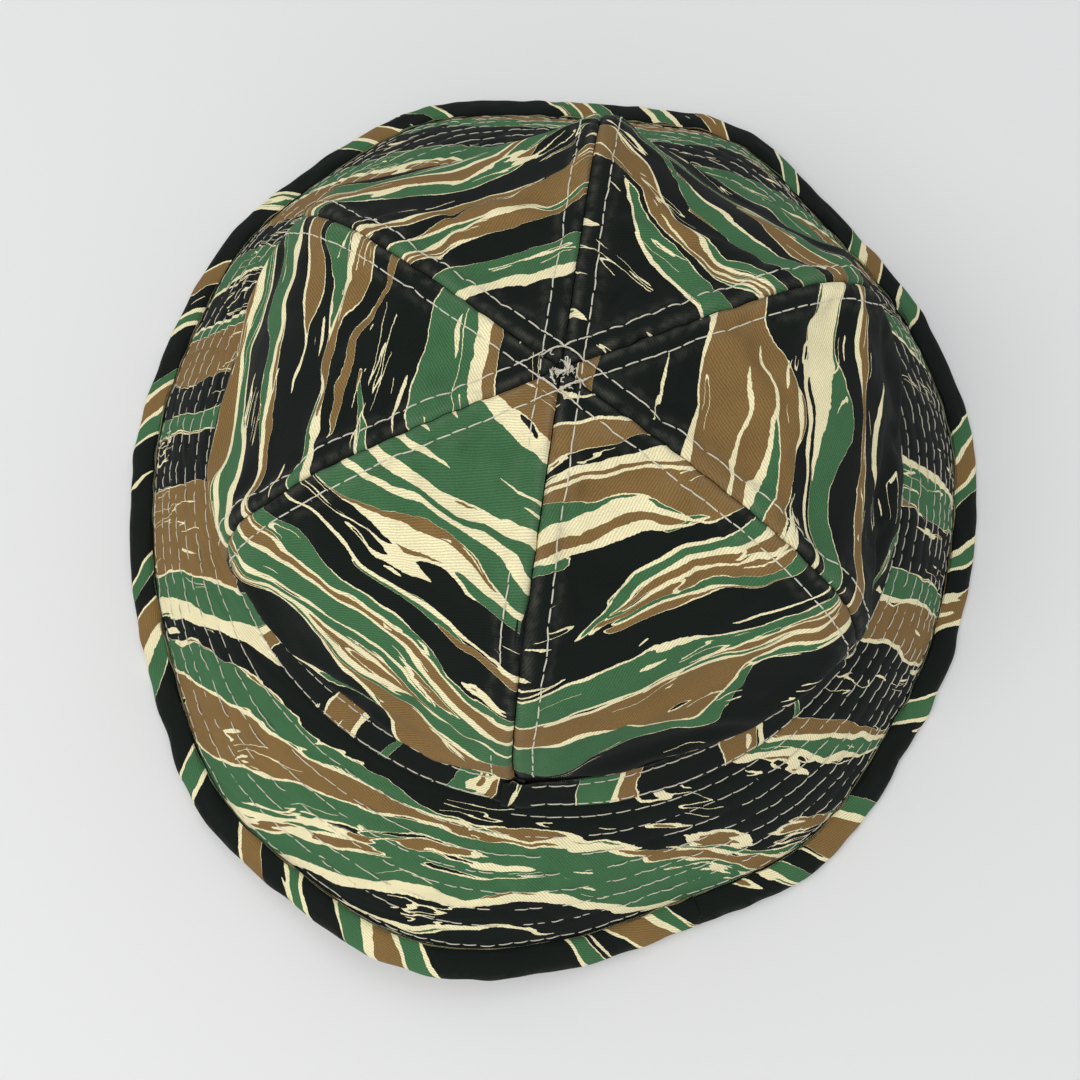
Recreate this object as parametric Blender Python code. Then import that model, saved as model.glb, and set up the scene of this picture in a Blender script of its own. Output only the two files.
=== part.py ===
"""Six-gore cotton bucket hat as an assembly of its sewn pieces.

Metres, +Z up. The origin is the middle of the rim, on the plane the brim rests on.
-Y is the centre back, where the hat band's ends lap; +Y is the front.
The crown, its tapes, the sweatband, the band and the crown's stitch rows are all laid out
on one set of levels, so that each layer's facets run parallel to its neighbours'.
"""

import math

import bmesh
import bpy
from mathutils import Vector

# Head opening, measured to the outer face of the crown cloth.
RING_HALF_WIDTH = 0.0960
RING_HALF_LENGTH = 0.0972
RING_HEIGHT = 0.045
RING_OFFSET = Vector((0.0034, -0.0020, 0.0))

# Brim: a sloping quilted part, then the edge binding lying out almost flat as a soft lip.
RIM_HALF_WIDTH = 0.1348
RIM_HALF_LENGTH = 0.1452
RIM_LIFT = 0.007
CONTACT_HALF_ARC = math.radians(34)
# Soft waves of the rim: (count round the hat, height in metres, where it peaks in degrees).
RIM_WAVES = ((3, 0.0024, 17), (4, 0.0012, -28), (6, 0.0009, 14))
BRIM_CROWNING = 0.0022
BRIM_START_OUT = 0.0008
BRIM_START_DOWN = 0.0006
LIP_SLOPE = math.radians(14)
BINDING_WIDTH = 0.009

# Crown: rise above the head opening, and how far the soft top leans.
CROWN_RISE = 0.070
CROWN_LEAN = Vector((0.0000, -0.0055, 0.0))
# Its outline from the apex to the head opening, as shares of the opening's half-width and of
# the rise: at the two sides, and the slacker one at the front and back.
SIDE_OUTLINE = (
    (0.0, 1.0),
    (0.35, 0.988),
    (0.62, 0.92),
    (0.785, 0.80),
    (0.88, 0.63),
    (0.93, 0.45),
    (0.958, 0.29),
    (0.957, 0.115),
    (1.0, 0.0),
)
END_OUTLINE = (
    (0.0, 1.0),
    (0.35, 0.988),
    (0.62, 0.92),
    (0.775, 0.80),
    (0.855, 0.63),
    (0.895, 0.45),
    (0.918, 0.29),
    (0.93, 0.115),
    (1.0, 0.0),
)
OUTLINE_SPANS = len(SIDE_OUTLINE) - 1
SEAM_RIDGE = 0.030
GORES = 6
GORE_TIP_RADIUS = 0.0016
SEAM_HALF_GAP = 0.00016

# Cloth thicknesses and the clearance kept between pieces.
GAP = 0.0003
CROWN_CLOTH = 0.0007
TAPE_CLOTH = 0.0004
SWEATBAND_CLOTH = 0.0008
BAND_CLOTH = 0.0007
BRIM_CLOTH = 0.0006
INTERLINING = 0.0005
BINDING_CLOTH = 0.0006
THREAD_RADIUS = 0.00022

BAND_LAP = math.radians(7)
BAND_ROW_SHARES = {"upper": 0.16, "lower": 0.88}
SWEATBAND_DROP = 0.0024
TAPE_HALF_WIDTH = 0.007

# Stitch rows: the twins beside each crown seam, and the rows that quilt the brim.
TWIN_ROW_OFFSET = 0.0049
SIDE_ROW_START = 0.016
BAND_CLEARANCE = 0.02
ROW_PITCH = 0.0059
FIRST_ROW = 0.003
LAST_ROW_INSET = 0.0012

# The narrow flat under the binding that the hat rests on.
LAND_HALF_WIDTH = 0.0008

STEPS_ROUND = 60
STEPS_PER_GORE = STEPS_ROUND // GORES
BACK = math.radians(-90)
CENTRE_BACK_SEAM = 0
CENTRE_FRONT_SEAM = 3
SIDE_SEAMS = (("back_right", 1), ("front_right", 2), ("front_left", 4), ("back_left", 5))

BRIM_STACK = 2 * BRIM_CLOTH + INTERLINING + 2 * GAP
FOLD_RADIUS = BRIM_STACK / 2 + GAP + BINDING_CLOTH
TAPE_TOP = -(CROWN_CLOTH + GAP)
SWEATBAND_TOP = TAPE_TOP - TAPE_CLOTH - GAP

CAMO_GREEN = (0.055, 0.125, 0.052)
CAMO_BLACK = (0.012, 0.014, 0.012)
CAMO_BROWN = (0.215, 0.140, 0.052)
TAPE_BLACK = (0.016, 0.017, 0.017)
LINING_WHITE = (0.62, 0.60, 0.52)
THREAD_CREAM = (0.62, 0.60, 0.52)


def smooth_step(x):
    x = min(max(x, 0.0), 1.0)
    return x * x * (3 - 2 * x)


# ---------------------------------------------------------------- the brim's surface


def rim_wave(theta):
    return sum(h * math.cos(n * (theta - math.radians(peak))) for n, h, peak in RIM_WAVES)


def rim_height(theta):
    """Zero over the two side arcs that rest on the table, rising to the front and the back."""
    off_side = math.acos(min(1.0, abs(math.cos(theta))))
    share = (off_side - CONTACT_HALF_ARC) / (math.pi / 2 - CONTACT_HALF_ARC)
    return smooth_step(share) * (RIM_LIFT + rim_wave(theta))


def raw_rim(theta):
    swell = rim_wave(theta)
    x = (RIM_HALF_WIDTH + swell) * math.cos(theta)
    y = (RIM_HALF_LENGTH + swell) * math.sin(theta)
    return Vector((x, y, rim_height(theta)))


def rim_centre():
    around = [raw_rim(2 * math.pi * i / STEPS_ROUND) for i in range(STEPS_ROUND)]
    xs = [p.x for p in around]
    ys = [p.y for p in around]
    return Vector(((min(xs) + max(xs)) / 2, (min(ys) + max(ys)) / 2, 0.0))


RIM_CENTRE = rim_centre()


def fold_face(theta):
    """The brim's outer face over the centre of the binding's fold."""
    outward = Vector((math.cos(theta), math.sin(theta), 0.0))
    centre = raw_rim(theta) - RIM_CENTRE + FOLD_RADIUS * (Vector((0, 0, 1)) - outward)
    normal = outward * math.sin(LIP_SLOPE) + Vector((0, 0, math.cos(LIP_SLOPE)))
    return centre + normal * BRIM_STACK / 2


def ditch_face(theta):
    """The brim's outer face at the binding's inner edge, where the brim turns out flat."""
    inward = -Vector((math.cos(theta), math.sin(theta), 0.0))
    uphill = inward * math.cos(LIP_SLOPE) + Vector((0, 0, math.sin(LIP_SLOPE)))
    return fold_face(theta) + uphill * (BINDING_WIDTH - FOLD_RADIUS)


def ring_point(theta, out=0.0, up=0.0):
    x = (RING_HALF_WIDTH + out) * math.cos(theta)
    y = (RING_HALF_LENGTH + out) * math.sin(theta)
    return Vector((x, y, RING_HEIGHT + up)) + RING_OFFSET


def brim_face(s, theta):
    """The brim's outer face: s is 0 at the head opening, 1 at the ditch and 2 at the fold."""
    ditch = ditch_face(theta)
    if s > 1:
        return ditch.lerp(fold_face(theta), s - 1)
    inner = ring_point(theta, BRIM_START_OUT, -BRIM_START_DOWN)
    run = ditch - inner
    along_rim = Vector((-math.sin(theta), math.cos(theta), 0.0))
    upward = run.cross(along_rim).normalized()
    return inner + run * s + upward * 4 * BRIM_CROWNING * s * (1 - s)


def brim_point(s, theta, lift=0.0):
    """A point held lift metres off the brim's outer face, along its normal."""
    step = 1e-3
    along = brim_face(s + step, theta) - brim_face(s - step, theta)
    round_hat = brim_face(s, theta + step) - brim_face(s, theta - step)
    return brim_face(s, theta) + along.cross(round_hat).normalized() * lift


def quilted_width(theta):
    return (brim_face(1.0, theta) - brim_face(0.0, theta)).length


# ---------------------------------------------------------------- the crown's surface


def along_outline(outline, t):
    """A smooth curve through an outline's points: (radius share, rise share) at t from 0 to 1."""
    place = min(max(t, 0.0), 1.0) * OUTLINE_SPANS
    i = min(int(place), OUTLINE_SPANS - 1)
    f = place - i
    near, far = Vector(outline[i]), Vector(outline[i + 1])
    before = Vector(outline[i - 1]) if i else Vector((-outline[1][0], outline[1][1]))
    after = Vector(outline[min(i + 2, OUTLINE_SPANS)])
    leave = (far - before) / 2
    arrive = (after - near) / 2
    ease = f * f * (3 - 2 * f)
    return near * (1 - ease) + far * ease + leave * f * (1 - f) ** 2 - arrive * f * f * (1 - f)


def crown_outline(t, theta):
    """(radius share, rise share) of the crown at one level, in one direction."""
    sideways = math.cos(theta) ** 2
    return along_outline(END_OUTLINE, t).lerp(along_outline(SIDE_OUTLINE, t), sideways)


def crown_centre(t):
    """The middle of the crown at one level, carried over by the lean of its soft top."""
    rise = along_outline(SIDE_OUTLINE, t).y
    below = max(t - 1.0, 0.0) * CROWN_RISE
    height = Vector((0, 0, RING_HEIGHT + CROWN_RISE * rise - below))
    return height + RING_OFFSET + CROWN_LEAN * rise


def crown_face(t, theta):
    """The crown's outer face: t is 0 at the apex, 1 at the head opening, more below it."""
    radius, rise = crown_outline(t, theta)
    swell = 4 * rise * (1 - rise)
    reach = radius * (1 - SEAM_RIDGE * math.cos(GORES * theta) * swell)
    x = RING_HALF_WIDTH * reach * math.cos(theta)
    y = RING_HALF_LENGTH * reach * math.sin(theta)
    return crown_centre(t) + Vector((x, y, 0.0))


def crown_point(t, theta, lift=0.0):
    """A point held lift metres off the crown's outer face, along its normal."""
    step = 1e-3
    low = max(t - step, 1e-5)
    along = crown_face(t + step, theta) - crown_face(low, theta)
    round_hat = crown_face(t, theta + step) - crown_face(t, theta - step)
    return crown_face(t, theta) + along.cross(round_hat).normalized() * lift


def crown_radius(t):
    return RING_HALF_WIDTH * along_outline(SIDE_OUTLINE, t).x


def level_at_radius(radius):
    """The level in the crown's flat top where it reaches a radius, by halving."""
    low, high = 0.0, 0.5
    while high - low > 1e-6:
        middle = (low + high) / 2
        low, high = (middle, high) if crown_radius(middle) < radius else (low, middle)
    return low


# Levels, in spans of the outline, of the sweatband's and the hat band's upper edges.
SWEAT_LEVEL = 5 / OUTLINE_SPANS
BAND_LEVEL = 7 / OUTLINE_SPANS
# Levels from the gore tips to the head opening, closer together over the shoulder.
INNER_RADIUS = 0.014
SPAN_STOPS = (1, 2, 2.6, 3.2, 4, 5, 6, 7, 8)
LEVELS = [level_at_radius(GORE_TIP_RADIUS), level_at_radius(INNER_RADIUS)]
LEVELS += [stop / OUTLINE_SPANS for stop in SPAN_STOPS]


def crown_facet(t, theta, lift=0.0):
    """Like crown_point, but on the straight run between the two levels around t."""
    above = max(level for level in LEVELS if level <= t)
    below = min(level for level in LEVELS if level >= t)
    share = (t - above) / (below - above) if below > above else 0.0
    return crown_point(above, theta, lift).lerp(crown_point(below, theta, lift), share)


def seam_angle(number):
    """Seam 0 is the centre back, and they count towards +X."""
    return BACK + number * 2 * math.pi / GORES


def beside_seam(t, seam, sideways):
    """The angle of a point a fixed distance to one side of a seam, at one level."""
    reach = (crown_face(t, seam) - crown_centre(t)).length
    return seam + math.asin(sideways / reach)


# ---------------------------------------------------------------- mesh building


def make_material(name, colour, roughness):
    material = bpy.data.materials.new(name)
    material.use_nodes = True
    shader = material.node_tree.nodes["Principled BSDF"]
    shader.inputs["Base Color"].default_value = (*colour, 1.0)
    shader.inputs["Roughness"].default_value = roughness
    shader.inputs["Metallic"].default_value = 0.0
    material.diffuse_color = (*colour, 1.0)
    return material


def add_object(name, bm, colour, roughness=0.9):
    bmesh.ops.triangulate(bm, faces=[f for f in bm.faces if len(f.verts) > 4])
    mesh = bpy.data.meshes.new(name)
    bm.to_mesh(mesh)
    bm.free()
    mesh.shade_smooth()
    mesh.set_sharp_from_angle(angle=math.radians(40))
    obj = bpy.data.objects.new(name, mesh)
    obj.data.materials.append(make_material(name + "_cloth", colour, roughness))
    bpy.context.scene.collection.objects.link(obj)
    return obj


def sheet(rows_out, rows_in, closed):
    """A cloth shell between two grids of points; closed joins the last column to the first."""
    bm = bmesh.new()
    outer = [[bm.verts.new(p) for p in row] for row in rows_out]
    inner = [[bm.verts.new(p) for p in row] for row in rows_in]
    rows = len(outer)
    columns = len(outer[0])
    spans = columns if closed else columns - 1
    for i in range(rows - 1):
        for j in range(spans):
            k = (j + 1) % columns
            bm.faces.new((outer[i][j], outer[i + 1][j], outer[i + 1][k], outer[i][k]))
            bm.faces.new((inner[i][j], inner[i][k], inner[i + 1][k], inner[i + 1][j]))
    for j in range(spans):
        k = (j + 1) % columns
        bm.faces.new((outer[0][j], outer[0][k], inner[0][k], inner[0][j]))
        bm.faces.new((outer[-1][j], inner[-1][j], inner[-1][k], outer[-1][k]))
    if not closed:
        for i in range(rows - 1):
            bm.faces.new((outer[i][0], inner[i][0], inner[i + 1][0], outer[i + 1][0]))
            bm.faces.new((outer[i][-1], outer[i + 1][-1], inner[i + 1][-1], inner[i][-1]))
    bmesh.ops.recalc_face_normals(bm, faces=bm.faces[:])
    return bm


def loft(sections, closed):
    """A solid swept through a list of section polygons of equal size."""
    bm = bmesh.new()
    rings = [[bm.verts.new(p) for p in section] for section in sections]
    count = len(rings)
    size = len(rings[0])
    for i in range(count if closed else count - 1):
        near = rings[i]
        far = rings[(i + 1) % count]
        for j in range(size):
            k = (j + 1) % size
            bm.faces.new((near[j], near[k], far[k], far[j]))
    if not closed:
        bm.faces.new(rings[0])
        bm.faces.new(list(reversed(rings[-1])))
    bmesh.ops.recalc_face_normals(bm, faces=bm.faces[:])
    return bm


def thread_sections(points, normals, closed):
    """Three-sided thread sections along a path, one flat side down against the cloth."""
    sections = []
    count = len(points)
    for i, (point, normal) in enumerate(zip(points, normals)):
        before = points[i - 1] if i or closed else point
        after = points[(i + 1) % count] if i < count - 1 or closed else point
        forward = (after - before).normalized()
        side = forward.cross(normal).normalized() * THREAD_RADIUS
        up = side.cross(forward).normalized() * THREAD_RADIUS
        low = point - up / 2
        sections.append((point + up, low + side, low - side))
    return sections


def add_thread(name, face, places, closed=False):
    """A row of sewing thread lying on face, a function of (a, b, lift)."""
    clear = GAP + THREAD_RADIUS / 2
    points = [face(a, b, clear) for a, b in places]
    normals = [(face(a, b, clear + 0.001) - face(a, b, clear)).normalized() for a, b in places]
    add_object(name, loft(thread_sections(points, normals, closed), closed), THREAD_CREAM, 0.7)


# ---------------------------------------------------------------- the crown


def add_gore(name, number, colour):
    """One crown panel, between two seams, its edges held clear of the panels beside it."""
    rows_out = []
    rows_in = []
    for t in LEVELS:
        inset = SEAM_HALF_GAP / crown_radius(t)
        first = seam_angle(number) + inset
        step = (seam_angle(number + 1) - inset - first) / STEPS_PER_GORE
        angles = [first + step * j for j in range(STEPS_PER_GORE + 1)]
        rows_out.append([crown_point(t, a) for a in angles])
        rows_in.append([crown_point(t, a, -CROWN_CLOTH) for a in angles])
    add_object(name, sheet(rows_out, rows_in, closed=False), colour)


def add_tape(name, path, edges):
    """A flat tape under the crown: path lists (level, seam), and edges gives angles from it."""
    outer = []
    inner = []
    for t, seam in path:
        angles = [seam + x for x in edges(t, seam)]
        outer.append([crown_facet(t, a, TAPE_TOP) for a in angles])
        inner.append([crown_facet(t, a, TAPE_TOP - TAPE_CLOTH) for a in angles])
    add_object(name, sheet(outer, inner, closed=False), TAPE_BLACK)


def add_centre_tape():
    """The tape over the front-to-back seam, in one length across the apex."""
    front = seam_angle(CENTRE_FRONT_SEAM)
    back = seam_angle(CENTRE_BACK_SEAM)
    wide = [t for t in LEVELS if crown_radius(t) > 1.5 * TAPE_HALF_WIDTH]

    def edges(t, seam):
        turn = 1 if seam == back else -1
        half = beside_seam(t, seam, TAPE_HALF_WIDTH) - seam
        return (-turn * half, 0.0, turn * half)

    add_tape("seam_tape_centre", [(t, back) for t in reversed(wide)] + [(t, front) for t in wide], edges)


def side_tape_edges(radius):
    """Angles from the seam to a side tape's edges, trimmed to the centre tape and the neighbour."""
    slant = math.pi / GORES
    full = math.asin(min(1.0, TAPE_HALF_WIDTH / radius))
    to_centre = math.acos(min(1.0, (TAPE_HALF_WIDTH + 2 * GAP) / radius)) - slant
    to_neighbour = slant - math.asin(GAP / radius)
    return -min(full, to_neighbour), min(full, to_centre)


def add_side_tape(name, number):
    """The tape over one of the four other seams, cut to a point at the apex."""
    before_centre = (number + 1) % GORES in (CENTRE_BACK_SEAM, CENTRE_FRONT_SEAM)
    toward_centre = 1 if before_centre else -1
    near = [level_at_radius(TAPE_HALF_WIDTH * r) for r in (1.12, 1.5, 2.2)]
    levels = near + [t for t in LEVELS if crown_radius(t) > 3 * TAPE_HALF_WIDTH]

    def edges(t, seam):
        low, high = side_tape_edges(crown_radius(t))
        return sorted(toward_centre * x for x in (low, (low + high) / 2, high))

    add_tape(name, [(t, seam_angle(number)) for t in levels], edges)


def add_sweatband():
    levels = [t for t in LEVELS if t >= SWEAT_LEVEL] + [1.0 + SWEATBAND_DROP / CROWN_RISE]
    angles = [2 * math.pi * j / STEPS_ROUND for j in range(STEPS_ROUND)]
    outer = [[crown_point(t, a, SWEATBAND_TOP) for a in angles] for t in levels]
    inner = [[crown_point(t, a, SWEATBAND_TOP - SWEATBAND_CLOTH) for a in angles] for t in levels]
    add_object("sweatband", sheet(outer, inner, closed=True), TAPE_BLACK)


def band_lift(turned):
    """How far the band stands off the crown: its last stretch climbs over its first."""
    start = 2 * math.pi
    return GAP + (BAND_CLOTH + GAP) * smooth_step((turned - start + BAND_LAP) / BAND_LAP)


def add_hat_band():
    """A strip round the base of the crown, its right-hand end lapped over the left at the back."""
    past_seam = BAND_LAP / 4
    turns = [2 * math.pi * j / STEPS_ROUND for j in range(STEPS_ROUND + 1)]
    turns = [2 * math.pi + past_seam, *reversed(turns), -past_seam]
    outer = []
    inner = []
    for t in (BAND_LEVEL, 1.0):
        inner.append([crown_point(t, BACK - a, band_lift(a)) for a in turns])
        outer.append([crown_point(t, BACK - a, band_lift(a) + BAND_CLOTH) for a in turns])
    add_object("hat_band", sheet(outer, inner, closed=False), CAMO_BLACK)


def add_band_threads():
    """The two rows that hold the band, each stopping short of the lapped end."""

    def on_band(t, theta, lift):
        return crown_facet(t, theta, GAP + BAND_CLOTH + lift)

    step = 2 * (math.pi - BAND_LAP) / STEPS_ROUND
    angles = [BACK + BAND_LAP + step * j for j in range(STEPS_ROUND + 1)]
    for row, share in BAND_ROW_SHARES.items():
        t = BAND_LEVEL + (1.0 - BAND_LEVEL) * share
        add_thread("band_thread_" + row, on_band, [(t, a) for a in angles])


def crown_thread_levels(least_radius):
    reach = [t for t in LEVELS if crown_radius(t) > least_radius and t < BAND_LEVEL]
    return reach + [BAND_LEVEL - BAND_CLEARANCE]


def add_crown_threads():
    """The twin rows either side of each seam; the centre pair runs over the apex."""

    def beside(levels, number, side):
        seam = seam_angle(number)
        return [(t, beside_seam(t, seam, side * TWIN_ROW_OFFSET)) for t in levels]

    levels = crown_thread_levels(1.5 * TWIN_ROW_OFFSET)
    for label, side in (("left", -1), ("right", 1)):
        row = beside(reversed(levels), CENTRE_BACK_SEAM, side) + beside(levels, CENTRE_FRONT_SEAM, -side)
        add_thread("seam_thread_centre_" + label, crown_facet, row)
    levels = [level_at_radius(SIDE_ROW_START)] + crown_thread_levels(1.25 * SIDE_ROW_START)
    for seam_name, number in SIDE_SEAMS:
        for label, side in (("a", -1), ("b", 1)):
            row = beside(levels, number, side)
            add_thread("seam_thread_" + seam_name + "_" + label, crown_facet, row)


# ---------------------------------------------------------------- the brim

# Shares of the brim's face at which every layer has a corner.
BRIM_LEVELS = (0.0, 1 / 3, 2 / 3, 1.0, 2.0)


def add_brim_layer(name, depth, thickness, colour):
    angles = [2 * math.pi * j / STEPS_ROUND for j in range(STEPS_ROUND)]
    upper = [[brim_point(s, a, -depth) for a in angles] for s in BRIM_LEVELS]
    lower = [[brim_point(s, a, -depth - thickness) for a in angles] for s in BRIM_LEVELS]
    add_object(name, sheet(upper, lower, closed=True), colour)


def binding_section(theta):
    """A U of cloth round the brim's edge, with a small flat foot under it."""
    face = brim_point(2.0, theta)
    normal = (brim_point(2.0, theta, 0.001) - face).normalized()
    outward = (face - brim_point(1.9, theta)).normalized()
    centre = face - normal * BRIM_STACK / 2
    flat_out = Vector((outward.x, outward.y, 0.0)).normalized()
    foot = Vector((0, 0, -FOLD_RADIUS))
    underside = -BRIM_STACK - GAP

    def on_fold(swing, radius):
        return centre + (outward * math.cos(swing) + normal * math.sin(swing)) * radius

    section = [brim_point(1.0, theta, GAP + BINDING_CLOTH)]
    section += [on_fold(math.radians(a), FOLD_RADIUS) for a in (90, 45, 5, -30)]
    section += [centre + foot + flat_out * x for x in (LAND_HALF_WIDTH, -LAND_HALF_WIDTH)]
    section += [brim_point(1.0, theta, underside - BINDING_CLOTH), brim_point(1.0, theta, underside)]
    section += [on_fold(math.radians(a), FOLD_RADIUS - BINDING_CLOTH) for a in (-90, -45, 0, 45, 90)]
    section.append(brim_point(1.0, theta, GAP))
    return section


def add_binding():
    sections = [binding_section(2 * math.pi * j / STEPS_ROUND) for j in range(STEPS_ROUND)]
    add_object("edge_binding", loft(sections, closed=True), CAMO_BLACK)


def add_brim_threads():
    """The quilting row, one spiral from the crown outwards, and the row beside the binding."""
    width = quilted_width(0.0)
    last_row = width - LAST_ROW_INSET
    turns = (last_row - 0.6 * ROW_PITCH - FIRST_ROW) / ROW_PITCH
    spiral = []
    for i in range(round(turns * STEPS_ROUND) + 1):
        out = FIRST_ROW + ROW_PITCH * i / STEPS_ROUND
        spiral.append((out / width, BACK + 2 * math.pi * i / STEPS_ROUND))
    add_thread("brim_quilting_thread", brim_point, spiral)
    edge = [(last_row / width, 2 * math.pi * j / STEPS_ROUND) for j in range(STEPS_ROUND)]
    add_thread("brim_edge_thread", brim_point, edge, closed=True)


# ---------------------------------------------------------------- assembly


def clear_scene():
    for obj in list(bpy.data.objects):
        bpy.data.objects.remove(obj, do_unlink=True)


def build_hat():
    gores = (
        ("crown_gore_back_right", CAMO_GREEN),
        ("crown_gore_right", CAMO_BROWN),
        ("crown_gore_front_right", CAMO_BLACK),
        ("crown_gore_front_left", CAMO_GREEN),
        ("crown_gore_left", CAMO_BLACK),
        ("crown_gore_back_left", CAMO_BROWN),
    )
    for number, (name, colour) in enumerate(gores):
        add_gore(name, number, colour)
    add_centre_tape()
    for seam_name, number in SIDE_SEAMS:
        add_side_tape("seam_tape_" + seam_name, number)
    add_sweatband()
    add_hat_band()
    add_band_threads()
    add_crown_threads()
    add_brim_layer("brim_top", 0.0, BRIM_CLOTH, CAMO_GREEN)
    add_brim_layer("brim_interlining", BRIM_CLOTH + GAP, INTERLINING, LINING_WHITE)
    add_brim_layer("brim_under", BRIM_CLOTH + INTERLINING + 2 * GAP, BRIM_CLOTH, CAMO_BROWN)
    add_binding()
    add_brim_threads()


clear_scene()
build_hat()
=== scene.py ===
"""Looks of the six-gore bucket hat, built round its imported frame.

Metres, +Z up, -Y the centre back. Every piece of cloth is a fine closed sheet laid on one of
two surfaces, the crown's or the brim's, with the pull of its seams and stitch rows worked in.
Sizes come from the frame's boxes; the proportions below are the pattern's own.
Every cloth carries a UV map named "cloth", in metres: u runs along the print's stripes and v
across them.
"""

import math

import bpy
import numpy as np
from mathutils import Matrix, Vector


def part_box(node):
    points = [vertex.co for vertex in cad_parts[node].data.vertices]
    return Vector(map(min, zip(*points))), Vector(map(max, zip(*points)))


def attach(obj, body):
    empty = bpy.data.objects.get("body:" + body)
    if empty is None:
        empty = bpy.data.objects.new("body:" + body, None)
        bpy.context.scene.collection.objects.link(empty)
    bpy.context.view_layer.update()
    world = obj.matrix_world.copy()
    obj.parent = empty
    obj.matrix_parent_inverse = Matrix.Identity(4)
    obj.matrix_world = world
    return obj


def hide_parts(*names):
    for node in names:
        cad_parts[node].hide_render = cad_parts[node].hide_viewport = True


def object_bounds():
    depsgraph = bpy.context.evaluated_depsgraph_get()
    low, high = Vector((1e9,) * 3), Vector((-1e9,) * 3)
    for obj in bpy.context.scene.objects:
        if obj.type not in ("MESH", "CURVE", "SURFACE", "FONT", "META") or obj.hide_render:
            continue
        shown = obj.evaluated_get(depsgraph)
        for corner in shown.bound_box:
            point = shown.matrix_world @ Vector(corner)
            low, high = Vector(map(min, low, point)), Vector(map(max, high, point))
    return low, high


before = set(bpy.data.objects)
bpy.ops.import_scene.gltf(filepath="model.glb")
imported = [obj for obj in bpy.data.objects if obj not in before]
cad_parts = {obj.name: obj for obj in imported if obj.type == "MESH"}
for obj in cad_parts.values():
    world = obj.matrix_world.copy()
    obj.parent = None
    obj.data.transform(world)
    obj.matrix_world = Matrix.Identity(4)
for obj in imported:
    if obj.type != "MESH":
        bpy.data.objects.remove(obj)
cad_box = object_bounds()

UP = np.array((0.0, 0.0, 1.0))
BACK = math.radians(-90)
GORES = 6
GORE_NAMES = ("back_right", "right", "front_right", "front_left", "left", "back_left")


def corners(*nodes):
    """The lowest and highest corners of some CAD nodes together."""
    boxes = [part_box(node) for node in nodes]
    return np.min([b[0] for b in boxes], axis=0), np.max([b[1] for b in boxes], axis=0)


# Head opening and crown rise, from the six gores; the rim, from the edge binding.
GORE_LOW, GORE_HIGH = corners(*("crown_gore_" + name for name in GORE_NAMES))
RING_HALF_WIDTH, RING_HALF_LENGTH = (GORE_HIGH - GORE_LOW)[:2] / 2
RING_HEIGHT = GORE_LOW[2] + 0.0002
RING_OFFSET = np.append((GORE_HIGH + GORE_LOW)[:2] / 2, 0.0)
CROWN_RISE = GORE_HIGH[2] - RING_HEIGHT
RIM_LOW, RIM_HIGH = corners("edge_binding")

# Rim: how much longer each half is before its soft waves pull it in, and how it lifts.
RIM_HALF_WIDTH = RIM_HIGH[0] + 0.0004
RIM_HALF_LENGTH = RIM_HIGH[1] + 0.0003
RIM_LIFT = 0.007
CONTACT_HALF_ARC = math.radians(34)
RIM_WAVES = ((3, 0.0024, 17), (4, 0.0012, -28), (6, 0.0009, 14))
# Small waves of the finished edge, on top of the CAD rim: how many, how deep, where they peak.
RIM_RUFFLES = ((7, 0.0009, 66), (9, 0.0008, 30), (13, 0.0004, 10))
BRIM_CROWNING = 0.0022
BRIM_START_OUT = 0.0008
BRIM_START_DOWN = 0.0006
LIP_SLOPE = math.radians(14)
BINDING_WIDTH = 0.009

# Crown outline from the apex to the head opening, as shares of the opening and of the rise.
CROWN_LEAN = np.array((0.0, -0.0055, 0.0))
SIDE_OUTLINE = (
    (0.0, 1.0),
    (0.35, 0.988),
    (0.62, 0.92),
    (0.785, 0.80),
    (0.88, 0.63),
    (0.93, 0.45),
    (0.958, 0.29),
    (0.957, 0.115),
    (1.0, 0.0),
)
END_OUTLINE = (
    (0.0, 1.0),
    (0.35, 0.988),
    (0.62, 0.92),
    (0.775, 0.80),
    (0.855, 0.63),
    (0.895, 0.45),
    (0.918, 0.29),
    (0.93, 0.115),
    (1.0, 0.0),
)
OUTLINE_SPANS = len(SIDE_OUTLINE) - 1
SWEAT_LEVEL = 5 / OUTLINE_SPANS
BAND_LEVEL = 7 / OUTLINE_SPANS
SEAM_RIDGE = 0.030

# Cloths, and the air between them.
GAP = 0.0003
CROWN_CLOTH = 0.0007
TAPE_CLOTH = 0.0004
SWEATBAND_CLOTH = 0.0008
BAND_CLOTH = 0.0007
BRIM_CLOTH = 0.0006
INTERLINING = 0.0005
BINDING_CLOTH = 0.0006
BRIM_STACK = 2 * BRIM_CLOTH + INTERLINING + 2 * GAP
FOLD_RADIUS = BRIM_STACK / 2 + GAP + BINDING_CLOTH
TAPE_TOP = -(CROWN_CLOTH + GAP)
SWEATBAND_TOP = TAPE_TOP - TAPE_CLOTH - GAP

# Sewing.
THREAD_RADIUS = 0.00019
STITCH_PITCH = 0.0039
STITCH_LENGTH = 0.0038
BRIM_THREAD_RADIUS = 0.00016
BRIM_STITCH_PITCH = 0.0046
BRIM_STITCH_LENGTH = 0.0044
TWIN_ROW_OFFSET = 0.0049
TAPE_HALF_WIDTH = 0.007
ALLOWANCE_HALF_WIDTH = 0.0064
ROW_PITCH = 0.0059
FIRST_ROW = 0.003
LAST_ROW_INSET = 0.0012
BAND_LAP = math.radians(7)
SWEATBAND_DROP = 0.0024
BRIM_TUCK = 0.0008
THREAD_ENDS = 9
THREAD_END_LENGTH = 0.0045
THREAD_END_SEED = 4

LAND_HALF_WIDTH = 0.0008
BINDING_JOIN = math.radians(-62)

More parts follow.
